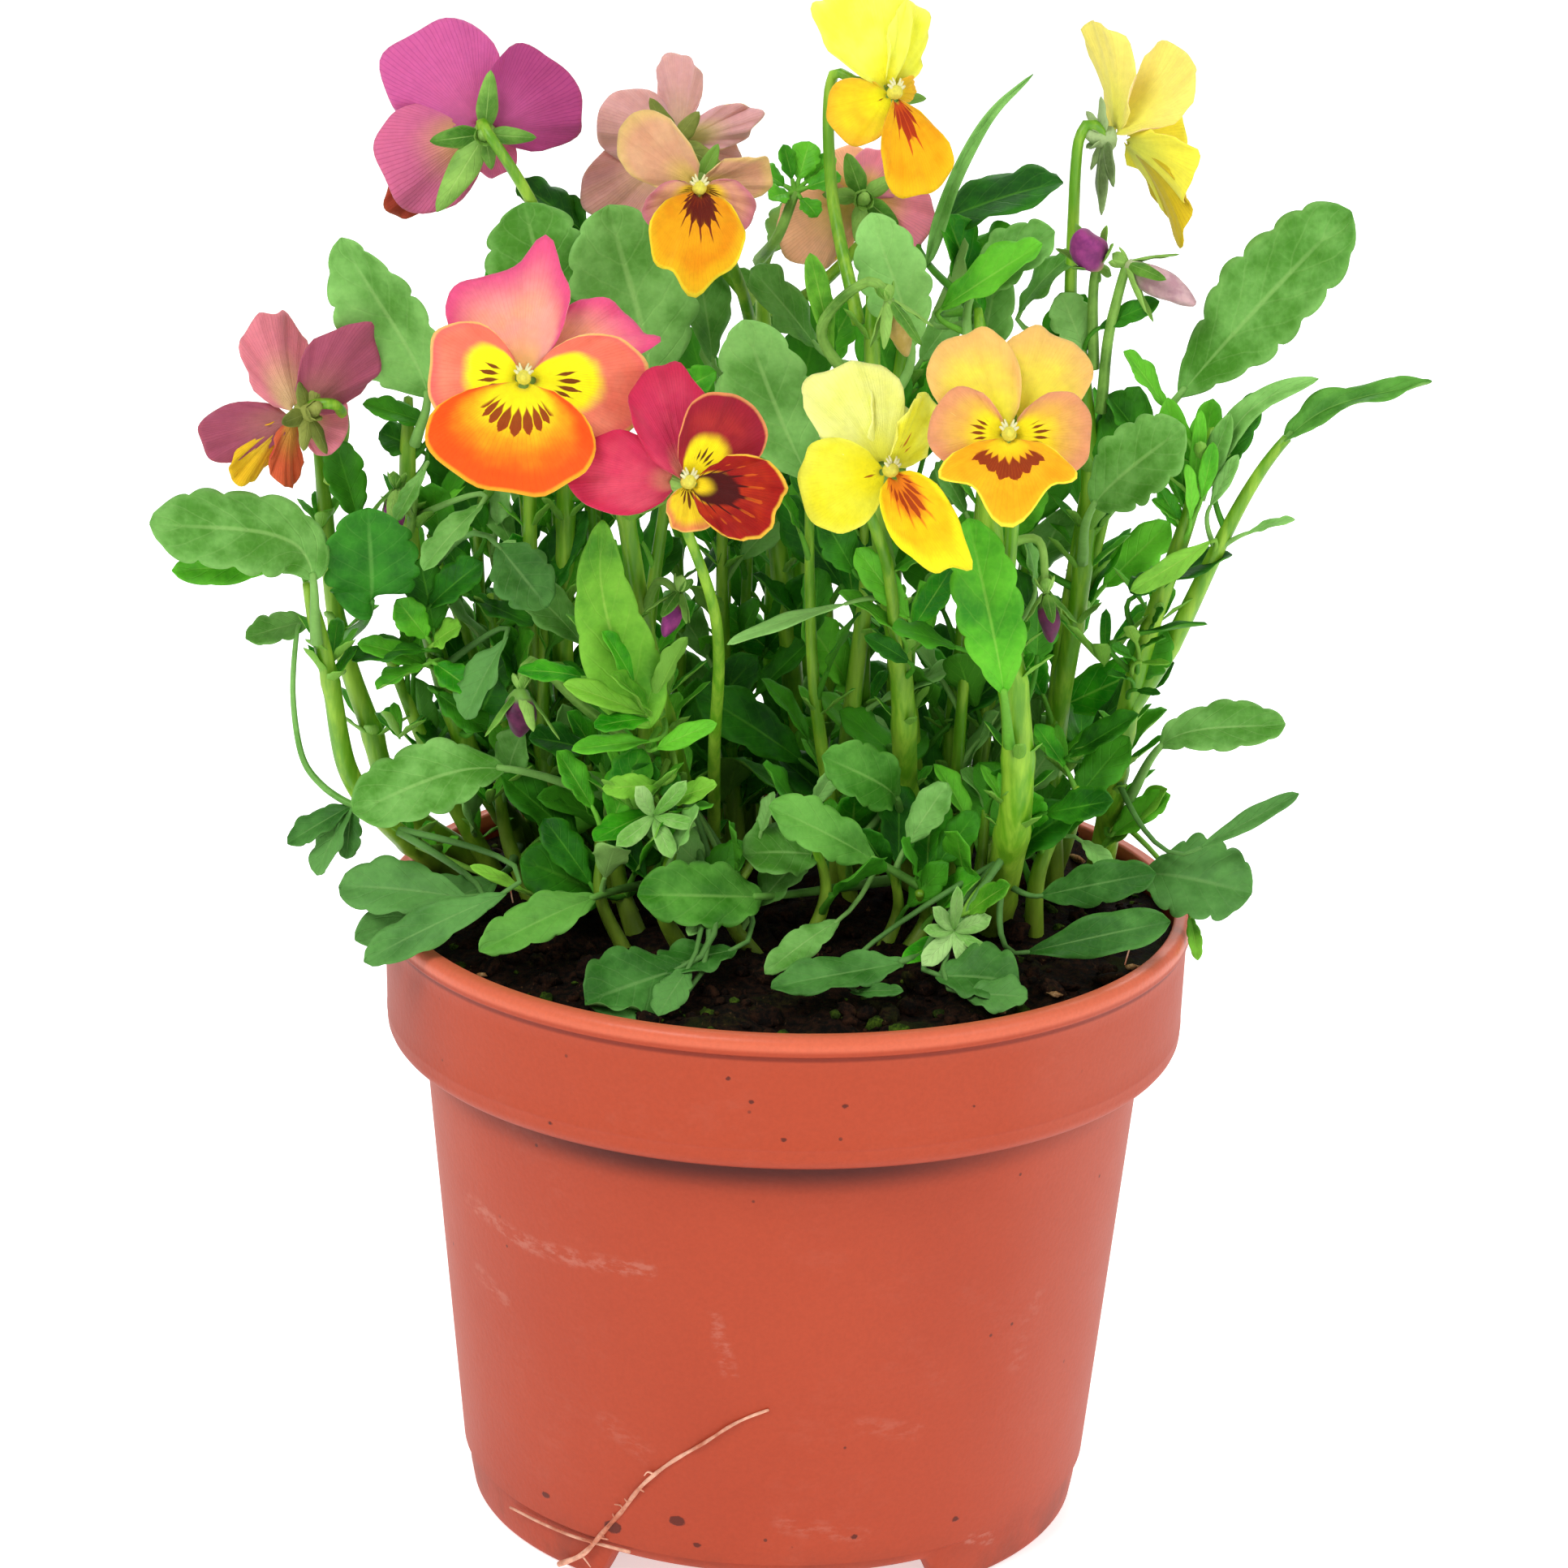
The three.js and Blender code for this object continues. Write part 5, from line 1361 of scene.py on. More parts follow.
# A long thin petiole hangs in an arch on the left.
arch = ((-77.3, -7, 147), (-77.8, -8, 145.4), (-78.4, -8, 135.6), (-77.2, -7, 125.5),
        (-74.2, -6, 120.3), (-69.6, -6, 117.2), (-67.0, -5, 116.6))
add_piece("arching_petiole", [tapered(arch, 40, 0.42, 0.6, 8, 0.6)], LEAF_MATERIALS["grey"])
tufts = []
for joints in stem_nodes.values():
    for joint in joints:
        if joint[2] > JOINT_FLOOR:
            tufts += tuft(joint, UP, tuft_chance, int(tuft_chance.integers(3, 6)), 7)
for path in shoot_paths:
    for share in tuft_chance.uniform(0.15, 1.0, 3):
        tufts += tuft(path[int(share * (SHOOT_STEPS - 1))], UP, tuft_chance, 3, 6)
add_piece("stipules_nodes", tufts, LEAF_MATERIALS["fresh"])


# ---- Flowers -------------------------------------------------------------------------------------

PETAL_ROWS, PETAL_COLUMNS, PETAL_THICKNESS = 20, 34, 0.42


def petal_shell(throat, tip, face, width, chance, widest=0.58, bow=0.06, cup=0.10, ruffle=0.7,
                waves=4, peak=0.0, peak_at=0.0, lobes=0.0, lobe_count=2, turn=0.0, curl=0.0,
                tint=0.5, spread=0.84):
    """A petal from throat to tip. face is the way its upper side looks."""
    throat, tip = np.asarray(throat, float), np.asarray(tip, float)
    length = np.linalg.norm(tip - throat)
    heading = (tip - throat) / length
    normal = square_to(face, heading)
    normal = turned(normal, heading, math.radians(turn))
    across = np.cross(normal, heading)
    radial = np.linspace(0.055, 1, PETAL_ROWS) ** 0.9
    angles = np.linspace(-1, 1, PETAL_COLUMNS)
    angles = (0.75 * angles + 0.25 * angles ** 3) * spread * math.pi
    power = math.log(widest) / math.log(0.5)
    out_x = ((1 + np.cos(angles)) / 2) ** power
    out_y = np.sign(np.sin(angles)) * np.abs(np.sin(angles)) ** 0.92 / 2
    outline = 1 + peak * np.exp(-((angles - peak_at) / 0.30) ** 2)
    outline += lobes * (np.cos(angles * lobe_count) - 1) * -0.5
    for k in (3, 5, 7):
        outline += chance.normal(0, 0.03 / k ** 0.5) * np.sin(k * angles + chance.uniform(0, 6))
    x = radial[:, None] * (out_x * outline)[None, :] * length
    y = radial[:, None] * (out_y * outline)[None, :] * width
    s = x / length
    lift = bow * length * 4 * s * (1 - s)
    lift += cup * width * (y / width * 2) ** 2
    lift -= curl * length * np.clip(s - 0.55, 0, 1) ** 2 * 4
    start = chance.uniform(0, 6)
    wave = np.sin(waves * angles[None, :] + start) + 0.5 * np.sin(
        waves * 2.3 * angles[None, :] + start * 1.7)
    lift += ruffle * radial[:, None] ** 3 * wave
    lift += 0.16 * radial[:, None] * np.sin(17 * angles[None, :] + start) * (
        1 - 0.5 * radial[:, None])
    lift -= 0.45 * np.exp(-(y / 1.1) ** 2) * (1 - radial[:, None]) ** 0.7
    grid = (throat + x[..., None] * heading + y[..., None] * across
            + lift[..., None] * normal)
    outward = radial[:, None] * (1 + 1.5 * (outline - 1)[None, :] * (1 - radial[:, None]))
    return sheet_shell(grid, PETAL_THICKNESS, outward, angles[None, :] / (spread * math.pi), tint)


LOOKS = {
    "rose_up": dict(
        base=(252, 168, 150), second=(250, 172, 132), edge=(226, 64, 130), edge_at=(0.56, 0.98),
        eye=(250, 186, 112), eye_at=(0.1, 0.42), vein=(220, 84, 110), back=(240, 150, 150)),
    "rose_side": dict(
        base=(234, 116, 92), second=(242, 140, 112), edge=(232, 100, 96), edge_at=(0.84, 0.99),
        edge_share=0.8, eye=(253, 240, 20), eye_at=(0.52, 0.68), eye_narrow=0.1, rays=7,
        lines=(112, 26, 8), lines_at=(0.36, 0.52), line_narrow=0.3, line_start=0.22,
        line_width=0.72, line_limit=0.34, rim=(246, 190, 110), vein=(206, 76, 66),
        back=(236, 150, 130), throat=(250, 210, 60)),
    "rose_low": dict(
        base=(253, 178, 20), second=(252, 150, 18), edge=(238, 78, 18), edge_at=(0.5, 0.88),
        edge_share=0.94, eye=(253, 232, 20), eye_at=(0.3, 0.56), rays=8, lines=(142, 38, 8),
        lines_at=(0.44, 0.54), line_width=0.98, line_narrow=0.14, line_start=0.22,
        line_limit=0.54, vein=(214, 74, 20), back=(250, 200, 80), throat=(252, 226, 40),
        rim=(250, 176, 40)),
    "crimson_up": dict(
        base=(206, 50, 88), second=(216, 76, 100), edge=(196, 34, 74), edge_at=(0.7, 1.0),
        eye=(226, 130, 110), eye_at=(0.1, 0.36), vein=(140, 16, 56), back=(206, 84, 104)),
    "crimson_side": dict(
        base=(148, 26, 38), second=(172, 46, 44), edge=(146, 22, 44), edge_at=(0.7, 0.95),
        eye=(253, 228, 20), eye_at=(0.44, 0.6), eye_narrow=0.1, rays=7, lines=(76, 10, 6),
        lines_at=(0.3, 0.46), line_narrow=0.3, line_start=0.2, line_limit=0.36,
        vein=(100, 10, 22), back=(190, 90, 80), throat=(250, 214, 40), rim=(232, 150, 90)),
    "crimson_yellow": dict(
        base=(252, 224, 36), second=(250, 210, 40), edge=(232, 130, 84), edge_at=(0.72, 0.98),
        rays=4, lines=(96, 20, 8), lines_at=(0.3, 0.6), line_narrow=0.3, vein=(220, 150, 40),
        back=(230, 170, 90), throat=(250, 224, 60), rim=(240, 190, 90)),
    "crimson_low": dict(
        base=(150, 18, 12), second=(186, 50, 14), edge=(160, 22, 14), edge_at=(0.8, 0.95),
        eye=(252, 214, 20), eye_at=(0.3, 0.46), rays=6, blotch=(72, 8, 6),
        blotch_at=(0.54, 0.62), fringe=0.16, blotch_narrow=0.35, lines=(226, 110, 20),
        lines_at=(0.8, 0.86), line_width=0.3, line_narrow=0.2, line_start=0.6, line_share=0.5,
        vein=(90, 10, 10), back=(210, 130, 60), throat=(252, 216, 24), throat_at=0.34,
        rim=(250, 196, 60)),
    "lemon_up": dict(
        base=(250, 252, 126), second=(253, 254, 146), edge=(252, 252, 150), edge_at=(0.8, 1.0),
        eye=(253, 250, 80), eye_at=(0.1, 0.5), vein=(246, 244, 110), back=(240, 244, 150)),
    "lemon_side": dict(
        base=(240, 230, 36), second=(242, 236, 60), edge=(242, 238, 76), edge_at=(0.8, 1.0),
        eye=(252, 238, 24), eye_at=(0.2, 0.6), rays=4, lines=(170, 90, 10),
        lines_at=(0.16, 0.32), line_narrow=0.5, vein=(236, 220, 40), back=(240, 240, 110),
        throat=(250, 232, 50)),
    "lemon_streaked": dict(
        base=(253, 246, 50), second=(253, 250, 90), edge=(253, 252, 110), edge_at=(0.8, 1.0),
        rays=4, lines=(206, 110, 14), lines_at=(0.34, 0.58), line_narrow=0.5, line_start=0.26,
        line_width=0.6, vein=(236, 214, 30), back=(240, 236, 100)),
    "lemon_low": dict(
        base=(253, 204, 14), second=(251, 180, 10), edge=(253, 236, 26), edge_at=(0.76, 0.94),
        rays=5, lean=0.1, blotch=(240, 130, 16), blotch_at=(0.4, 0.56), fringe=0.12,
        lines=(170, 56, 6), lines_at=(0.42, 0.6), line_width=0.85, line_narrow=0.35,
        line_start=0.16, vein=(240, 170, 10), back=(240, 210, 60), throat=(248, 210, 40)),
    "apricot_up": dict(
        base=(246, 226, 76), second=(240, 204, 82), edge=(238, 184, 108), edge_at=(0.6, 1.0),
        eye=(252, 240, 60), eye_at=(0.1, 0.6), vein=(236, 190, 70), back=(240, 210, 120)),
    "apricot_side": dict(
        base=(234, 192, 54), second=(226, 174, 66), edge=(216, 142, 108), edge_at=(0.46, 0.96),
        eye=(253, 228, 24), eye_at=(0.34, 0.64), rays=7, lines=(120, 34, 8),
        lines_at=(0.36, 0.54), line_narrow=0.25, line_start=0.24, line_width=0.7,
        line_limit=0.38, vein=(216, 150, 60), back=(230, 190, 110), throat=(250, 224, 40)),
    "apricot_low": dict(
        base=(253, 178, 20), second=(251, 160, 14), edge=(253, 176, 22), edge_at=(0.84, 0.98),
        eye=(252, 208, 20), eye_at=(0.2, 0.36), rays=7, lines=(134, 26, 6),
        lines_at=(0.52, 0.62), line_width=1.2, line_narrow=0.1, line_start=0.26, line_limit=0.62,
        vein=(232, 130, 14), back=(244, 190, 60), throat=(252, 220, 30), throat_at=0.26,
        rim=(253, 230, 60)),
    "yellow_up": dict(
        base=(250, 252, 70), second=(252, 254, 96), edge=(252, 250, 100), edge_at=(0.8, 1.0),
        eye=(252, 240, 40), eye_at=(0.1, 0.45), vein=(236, 230, 50), back=(246, 246, 110)),
    "yellow_side": dict(
        base=(240, 210, 30), second=(238, 188, 26), edge=(244, 180, 40), edge_at=(0.74, 1.0),
        eye=(253, 238, 20), eye_at=(0.2, 0.6), rays=4, lines=(150, 60, 8), lines_at=(0.1, 0.26),
        line_narrow=0.5, vein=(232, 180, 20), back=(240, 210, 80), throat=(250, 226, 40)),
    "yellow_low": dict(
        base=(242, 180, 10), second=(240, 160, 6), edge=(242, 192, 20), edge_at=(0.8, 1.0),
        rays=5, lean=0.06, blotch=(206, 76, 12), blotch_at=(0.44, 0.52), fringe=0.2,
        blotch_narrow=0.7, lines=(170, 44, 6), lines_at=(0.44, 0.58), line_width=0.9,
        line_narrow=0.5, line_start=0.12, vein=(230, 140, 12), back=(240, 180, 60),
        throat=(250, 206, 30)),
    "peach_up": dict(
        base=(214, 168, 128), second=(208, 154, 120), edge=(214, 180, 112), edge_at=(0.8, 1.0),
        eye=(224, 192, 100), eye_at=(0.1, 0.5), vein=(222, 164, 124), back=(236, 200, 150)),
    "peach_side": dict(
        base=(214, 150, 124), second=(220, 164, 120), edge=(190, 110, 124), edge_at=(0.7, 1.0),
        eye=(244, 200, 50), eye_at=(0.3, 0.6), rays=7, lines=(90, 16, 10), lines_at=(0.3, 0.5),
        vein=(180, 100, 100), back=(210, 160, 140), throat=(240, 180, 20)),
    "peach_low": dict(
        base=(236, 164, 8), second=(232, 146, 8), edge=(238, 184, 18), edge_at=(0.78, 0.96),
        rays=6, lean=0.22, blotch=(120, 34, 8), blotch_at=(0.36, 0.44), fringe=0.22,
        blotch_narrow=0.3, lines=(96, 18, 6), lines_at=(0.38, 0.52), line_width=1.1,
        line_narrow=0.2, vein=(220, 124, 12), back=(236, 176, 50), throat=(236, 160, 16),
        rim=(252, 224, 50)),
}
# Petals without an eye, rays or lines: where the edge tint begins along the petal, then its
# colours in this order.
AWAY_PARTS = ("base", "second", "edge", "vein", "back", "back_low")
LOOKS_AWAY = {
    "magenta_up": (0.8, (196, 86, 148), (208, 106, 166), (180, 60, 132),
                   (150, 46, 120), (198, 90, 150), (202, 96, 148)),
    "magenta_dark": (0.8, (166, 62, 118), (178, 78, 130), (146, 38, 102),
                     (110, 26, 90), (162, 62, 116), (188, 84, 140)),
    "magenta_side": (0.8, (206, 92, 138), (216, 120, 130), (216, 100, 150),
                     (150, 44, 90), (206, 104, 144), (226, 170, 110)),
    "magenta_low": (0.6, (200, 130, 40), (190, 90, 40), (130, 40, 30),
                    (130, 40, 30), (160, 64, 44), (230, 200, 70)),
    "dusky_up": (0.8, (240, 184, 186), (240, 190, 176), (226, 160, 168),
                 (208, 140, 150), (226, 174, 170), (224, 186, 158)),
    "dusky_side": (0.84, (228, 180, 150), (228, 186, 140), (210, 150, 140),
                   (196, 124, 126), (222, 166, 158), (236, 200, 150)),
    "dusky_rim": (0.8, (220, 190, 160), (226, 200, 120), (240, 220, 80),
                  (190, 130, 130), (220, 166, 168), (214, 200, 120)),
    "pale_up": (0.6, (240, 224, 106), (246, 214, 140), (242, 206, 150),
                (232, 206, 100), (238, 222, 110), (238, 232, 90)),
    "pale_side": (0.7, (244, 234, 66), (240, 212, 80), (236, 196, 100),
                  (220, 200, 60), (242, 230, 70), (220, 220, 80)),
    "pale_low": (0.8, (214, 184, 30), (206, 160, 24), (214, 180, 40),
                 (170, 120, 20), (214, 186, 30), (200, 180, 50)),
    "salmon_side": (0.8, (240, 164, 122), (232, 150, 120), (230, 140, 116),
                    (220, 130, 104), (254, 186, 148), (250, 206, 120)),
    "salmon_mauve": (0.8, (196, 118, 132), (204, 130, 136), (186, 90, 130),
                     (180, 100, 124), (240, 140, 164), (246, 200, 110)),
    "mauve_up": (0.7, (214, 150, 140), (210, 140, 140), (196, 116, 130),
                 (176, 100, 110), (212, 124, 136), (226, 190, 140)),
    "mauve_dark": (0.7, (164, 84, 108), (172, 96, 116), (166, 76, 110),
                   (126, 50, 84), (160, 78, 100), (168, 104, 100)),
    "mauve_low": (0.8, (246, 190, 30), (240, 170, 40), (236, 150, 40),
                  (210, 120, 30), (244, 196, 34), (226, 190, 60)),
    "mauve_orange": (0.8, (220, 100, 50), (206, 80, 50), (190, 60, 50),
                     (160, 50, 40), (210, 96, 56), (206, 150, 60)),
}
for name, (edge_from, *colours) in LOOKS_AWAY.items():
    LOOKS[name] = dict(edge_at=(edge_from, 1.0), **dict(zip(AWAY_PARTS, colours)))
LOOKS["dusky_rim"]["rim"] = (244, 226, 80)
PETAL_MATERIALS = {name: petal_material("petal_" + name, look) for name, look in LOOKS.items()}

# Each flower: its throat; the way it faces as (right, up, near) seen from the front; and its
# petals as (part, look, clock angle, length, width, how far the tip is nearer, shape).
FLOWERS = {
    "rose": ((-41, -34, 194), (-0.05, 0.1, 1), (
        ("upper_left", "rose_up", -14, 17.4, 19, -3.5, dict(
            widest=0.62, peak=0.26, peak_at=-0.72, bow=0.03, turn=-4)),
        ("upper_right", "rose_up", 57, 18.8, 13.2, -5, dict(
            turn=-14, curl=0.04, peak=0.20, peak_at=-0.8)),
        ("side_left", "rose_side", -88, 14.5, 16, 0.5, dict(widest=0.62, spread=0.88)),
        ("side_right", "rose_side", 97, 18.5, 16.5, -1.0, dict(widest=0.60, spread=0.88)),
        ("lower", "rose_low", 187, 17.8, 25.5, 3.5, dict(
            widest=0.60, peak=-0.07, bow=0.08, ruffle=0.9, spread=0.88)),
    )),
    "crimson": ((-16, -43, 181), (0.30, 0.0, 0.95), (
        ("upper_left", "crimson_up", -17, 17.2, 12, 0.0, dict(
            widest=0.62, peak=0.10, peak_at=-0.6)),
        ("upper_right", "crimson_up", -84, 16.6, 12.5, 0.5, dict(widest=0.60)),
        ("side_right", "crimson_side", 34, 15.0, 13, 1.0, dict(widest=0.60)),
        ("side_left", "crimson_yellow", 172, 7.5, 8, 0.5, dict()),
        ("lower", "crimson_low", 106, 14.2, 12.5, 3.5, dict(
            widest=0.62, ruffle=1.1, waves=6, lobes=0.05, lobe_count=3)),
    )),
    "lemon": ((14, -33, 181), (0.42, 0.0, 0.90), (
        ("upper_left", "lemon_up", -31, 17.8, 16, -2, dict(widest=0.62)),
        ("upper_right", "lemon_up", 0, 14, 10, -6, dict(turn=20)),
        ("side_left", "lemon_side", -107, 13.6, 14.5, 1, dict(widest=0.60)),
        ("side_right", "lemon_streaked", 27, 13, 9, -2, dict(turn=30)),
        ("lower", "lemon_low", 147, 16.5, 10.2, 3, dict(
            widest=0.54, turn=24, curl=0.12, peak=0.20, peak_at=0.45)),
    )),
    "apricot": ((31.0, -40, 188.8), (0.0, 0.1, 1), (
        ("upper_left", "apricot_up", -31, 17, 13.6, -2.5, dict(widest=0.62)),
        ("upper_right", "apricot_up", 28, 17.6, 14, -4.5, dict(widest=0.62)),
        ("side_left", "apricot_side", -84, 11.8, 12, 0.5, dict(widest=0.6, spread=0.88)),
        ("side_right", "apricot_side", 88, 12.4, 12.5, 0.5, dict(widest=0.6, spread=0.88)),
        ("lower", "apricot_low", 180, 11.6, 20.5, 3, dict(
            widest=0.56, peak=0.20, lobes=-0.20, lobe_count=4, bow=0.09)),
    )),
    "yellow": ((13.3, -6, 233), (0.34, 0.0, 0.92), (
        ("upper_left", "yellow_up", -25, 18.4, 15.5, -1, dict(widest=0.66)),
        ("upper_right", "yellow_up", 13, 15.5, 8.5, -3, dict(turn=26)),
        ("side_left", "yellow_side", -121, 10.6, 10.5, 0.5, dict(turn=12)),
        ("side_right", "yellow_side", 60, 4, 4, -5, dict(turn=20, ruffle=0.2)),
        ("lower", "yellow_low", 163, 16.4, 11, 2.5, dict(
            widest=0.70, turn=10, bow=0.10, peak=0.06, peak_at=-0.9)),
    )),
    "peach": ((-16, -10, 218.4), (0.05, -0.25, 0.95), (
        ("upper_left", "peach_up", -50, 15, 10.5, 0.0, dict(turn=-10)),
        ("upper_right", "peach_up", 78, 11.5, 7.5, 0.5, dict(turn=15)),
        ("side_left", "peach_side", -128, 9.5, 8, 0.5, dict()),
        ("side_right", "peach_side", 122, 9.5, 8, 0.5, dict()),
        ("lower", "peach_low", 182, 14.6, 14.6, 2.5, dict(widest=0.56, peak=0.12, bow=0.10)),
    )),
    "magenta": ((-49.5, 5, 223.6), (-0.05, 0.25, -0.97), (
        ("upper_left", "magenta_up", -41, 19, 18.5, 2, dict(widest=0.55, spread=0.9)),
        ("upper_right", "magenta_dark", 57, 15.5, 17, 2.6, dict(widest=0.60, spread=0.9)),
        ("side_left", "magenta_side", -118, 17.5, 17, 0.5, dict(widest=0.58, spread=0.9)),
        ("side_right", "magenta_side", 158, 7, 7, -2, dict()),
        ("lower", "magenta_low", -130, 19.4, 8, -3.5, dict(widest=0.62)),
    )),
    "dusky": ((-19, 14, 221), (0.25, 0.2, -0.95), (
        ("upper_left", "dusky_up", -6, 13.6, 7.5, 1.5, dict(widest=0.66, curl=-0.1)),
        ("upper_right", "dusky_rim", 70, 12.5, 6.5, 1.5, dict(ruffle=0.9, peak=0.12)),
        ("side_left", "dusky_up", -76, 13.5, 12, 1.0, dict(widest=0.60)),
        ("side_right", "dusky_rim", 118, 10, 8, -1.0, dict()),
        ("lower", "dusky_side", -126, 18.5, 12, -1.5, dict(widest=0.60)),
    )),
    "pale": ((50, 6, 224.8), (0.85, 0.1, -0.45), (
        ("upper_left", "pale_up", -16, 18.6, 12, 1, dict(turn=-6, spread=0.88)),
        ("upper_right", "pale_up", 33, 17.6, 16, -1.5, dict(turn=8, spread=0.88)),
        ("side_left", "pale_side", 138, 14, 17, 2.0, dict(turn=14, spread=0.88)),
        ("side_right", "pale_side", 88, 10, 10, -2, dict(turn=10)),
        ("lower", "pale_low", 149, 16.6, 10.5, -1, dict(turn=12, peak=0.14)),
    )),
    "salmon": ((8.5, 15, 213.5), (-0.1, 0.3, -0.95), (
        ("side_left", "salmon_side", -132, 15, 13, 2, dict(widest=0.55)),
        ("side_right", "salmon_mauve", 124, 12.5, 12, 2, dict(widest=0.58)),
        ("lower", "mauve_low", 214, 14, 7, -1, dict()),
        ("upper_left", "salmon_side", -36, 8, 9, 0, dict()),
        ("upper_right", "salmon_mauve", 40, 8, 9, 0, dict()),
    )),
    "mauve": ((-79, -6, 180), (-0.62, -0.1, -0.70), (
        ("upper_left", "mauve_up", -16, 16.5, 11.5, 1, dict(turn=-10)),
        ("upper_right", "mauve_dark", 42, 15.5, 12, 1.8, dict(peak=0.2, peak_at=-0.3)),
        ("side_left", "mauve_dark", -108, 15, 9, 1, dict()),
        ("side_right", "mauve_up", 98, 8.5, 10, -1, dict()),
        ("lower", "mauve_low", -141, 13.5, 6, -1, dict()),
        ("lower_orange", "mauve_orange", 182, 11, 6, -2, dict()),
    )),
}
SEPAL_OLIVE = leaf_material("sepal_olive", (
    (118, 132, 52), (150, 160, 76), (84, 98, 36), (160, 170, 90), (124, 136, 60)))
SEPAL_GREY = leaf_material("sepal_grey", (
    (126, 158, 90), (160, 184, 124), (78, 100, 52), (170, 190, 130), (134, 160, 100)))
SEPAL_MATERIAL = leaf_material("sepal", (
    (98, 156, 48), (150, 196, 92), (54, 110, 18), (170, 208, 110), (120, 170, 66)))


def sepal_shells(place, behind, chance, length, width, open_out=0.9, lean=-0.45, plan=None):
    """Five lance sepals round a flower's back; behind points away from the flower's face."""
    shells = []
    side = square_to((0, 0, 1), behind)
    for k in range(5):
        out = turned(side, behind, 2 * math.pi * (k + 0.3) / 5 + chance.normal(0, 0.12))
        reach = length * chance.uniform(0.85, 1.2)
        if plan:
            clock, reach, width = plan[k]
            clock = math.radians(clock)
            out = square_to(seen(math.sin(clock), math.cos(clock), 0), behind)
        heading = unit(out * open_out + behind * lean)
        foot = place + out * 0.5 + behind * 0.4
        tip = foot + heading * reach
        path = resample([foot, foot + heading * reach * 0.5 + behind * reach * 0.05, tip], 16)
        grid, along, across = blade_grid(
            path, [behind * 0.9 + out * 0.3] * 16, width * chance.uniform(0.9, 1.2), 16, 7,
            widest=0.38, base=0.6, point=1.3, teeth=1, tooth=0.0, fold=-0.22, ruffle=0.1,
            quilt=0.0, groove=-0.15)
        shells.append(sheet_shell(grid, 0.3, along, across, chance.uniform(0.2, 0.9)))
        ear = [foot - out * 0.3, foot + behind * 1.4 + out * 0.7,
               foot + behind * 2.7 + out * 1.1]
        grid, along, across = blade_grid(
            resample(ear, 8), [out] * 8, 1.9, 8, 5, widest=0.55, base=0.5, teeth=1, tooth=0.0,
            fold=-0.2, ruffle=0.0, quilt=0.0, groove=0.0)
        shells.append(sheet_shell(grid, 0.3, along, across, chance.uniform(0.2, 0.9)))
    return shells


PETAL_LAYERS = {"upper_left": 1.5, "upper_right": 2.9, "side_left": 0.6, "side_right": 0.8,
                "lower": 0.0, "lower_orange": 0.3}
STALK_BENDS = {"magenta": 5.5, "pale": 4.5}
SEPAL_PLANS = {
    "magenta": ((4, 9.5, 3.0), (-98, 8.0, 3.0), (-150, 13.5, 4.4), (92, 7.5, 2.6),
                (168, 5.0, 2.2)),
    "pale": ((28, 6.0, 2.6), (-60, 5.0, 2.4), (172, 11.5, 3.8), (128, 8.5, 3.0),
             (-130, 5.0, 2.0)),
    "mauve": ((36, 5.5, 2.6), (-30, 4.5, 2.4), (-110, 5.5, 2.6), (150, 6.5, 3.0),
              (-160, 6.0, 2.6)),
    "dusky": ((-28, 7.5, 3.0), (40, 6.0, 2.6), (112, 8.0, 3.2), (170, 5.0, 2.2),
              (-100, 4.0, 2.0)),
}
SEPAL_LENGTHS = {"magenta": 8.6, "dusky": 6.5, "pale": 8.0, "mauve": 6.2, "salmon": 6.5}
SEPALS = {"mauve": SEPAL_OLIVE, "dusky": SEPAL_OLIVE, "pale": SEPAL_GREY}
flower_chance = np.random.default_rng(53)
for name, (throat, facing, petals) in FLOWERS.items():
    throat = np.array(throat, float)
    face = unit(seen(*facing))
    centre = throat - face * 0.6
    for part, look, clock, length, width, near, shape in petals:
        angle = math.radians(clock)
        offset = seen(length * math.sin(angle), length * math.cos(angle), near)
        layer = -face * PETAL_LAYERS[part]
        root = centre + layer + unit(offset) * 0.4
        shell = petal_shell(root, centre + layer + offset, face, width, flower_chance,
                            tint=flower_chance.uniform(0.2, 0.8), **shape)
        add_piece(f"petal_{name}_{part}", [shell], PETAL_MATERIALS[look],
                  ("corolla_" + name,) if part == "lower" else ())
    stalk, _ = ring_path("stalk_" + name, stem_gap)
    calyx = centre - face * 4.0
    stalk = np.vstack([stalk[:-2], [stalk[-2] * 0.5 + (calyx - face * 2.0) * 0.5],
                       [calyx - face * 0.5]])
    along = np.linspace(0, 1, len(stalk))
    stalk[:, 0] += along ** 0.5 * (1 - along ** 3) * STALK_BENDS.get(name, 0.0)
    path = resample(stalk, 34)
    radius = np.interp(np.linspace(0, 1, 34), [0, 0.9, 1.0], [1.05, 0.8, 1.3])
    shells = [tube_shell(path, radius, 10, 0.6, ridge=0.08, ridges=4)]
    add_piece("flower_stalk_" + name, shells, green_stem, ("stalk_" + name,))
    plan = SEPAL_PLANS.get(name)
    shells = sepal_shells(calyx, -face, flower_chance, SEPAL_LENGTHS.get(name, 6.0),
                          2.9 if name in SEPAL_LENGTHS else 2.2, lean=0.12, plan=plan)
    spur = resample([calyx + face * 1.0, calyx - face * 1.2, calyx - face * 3.4 + UP * 0.8], 10)
    shells.append(tube_shell(spur, np.interp(np.linspace(0, 1, 10), [0, 0.4, 1], [1.9, 1.5, 0.7]),
                             10, 0.9))
    add_piece("sepals_" + name, shells, SEPALS.get(name, SEPAL_MATERIAL))


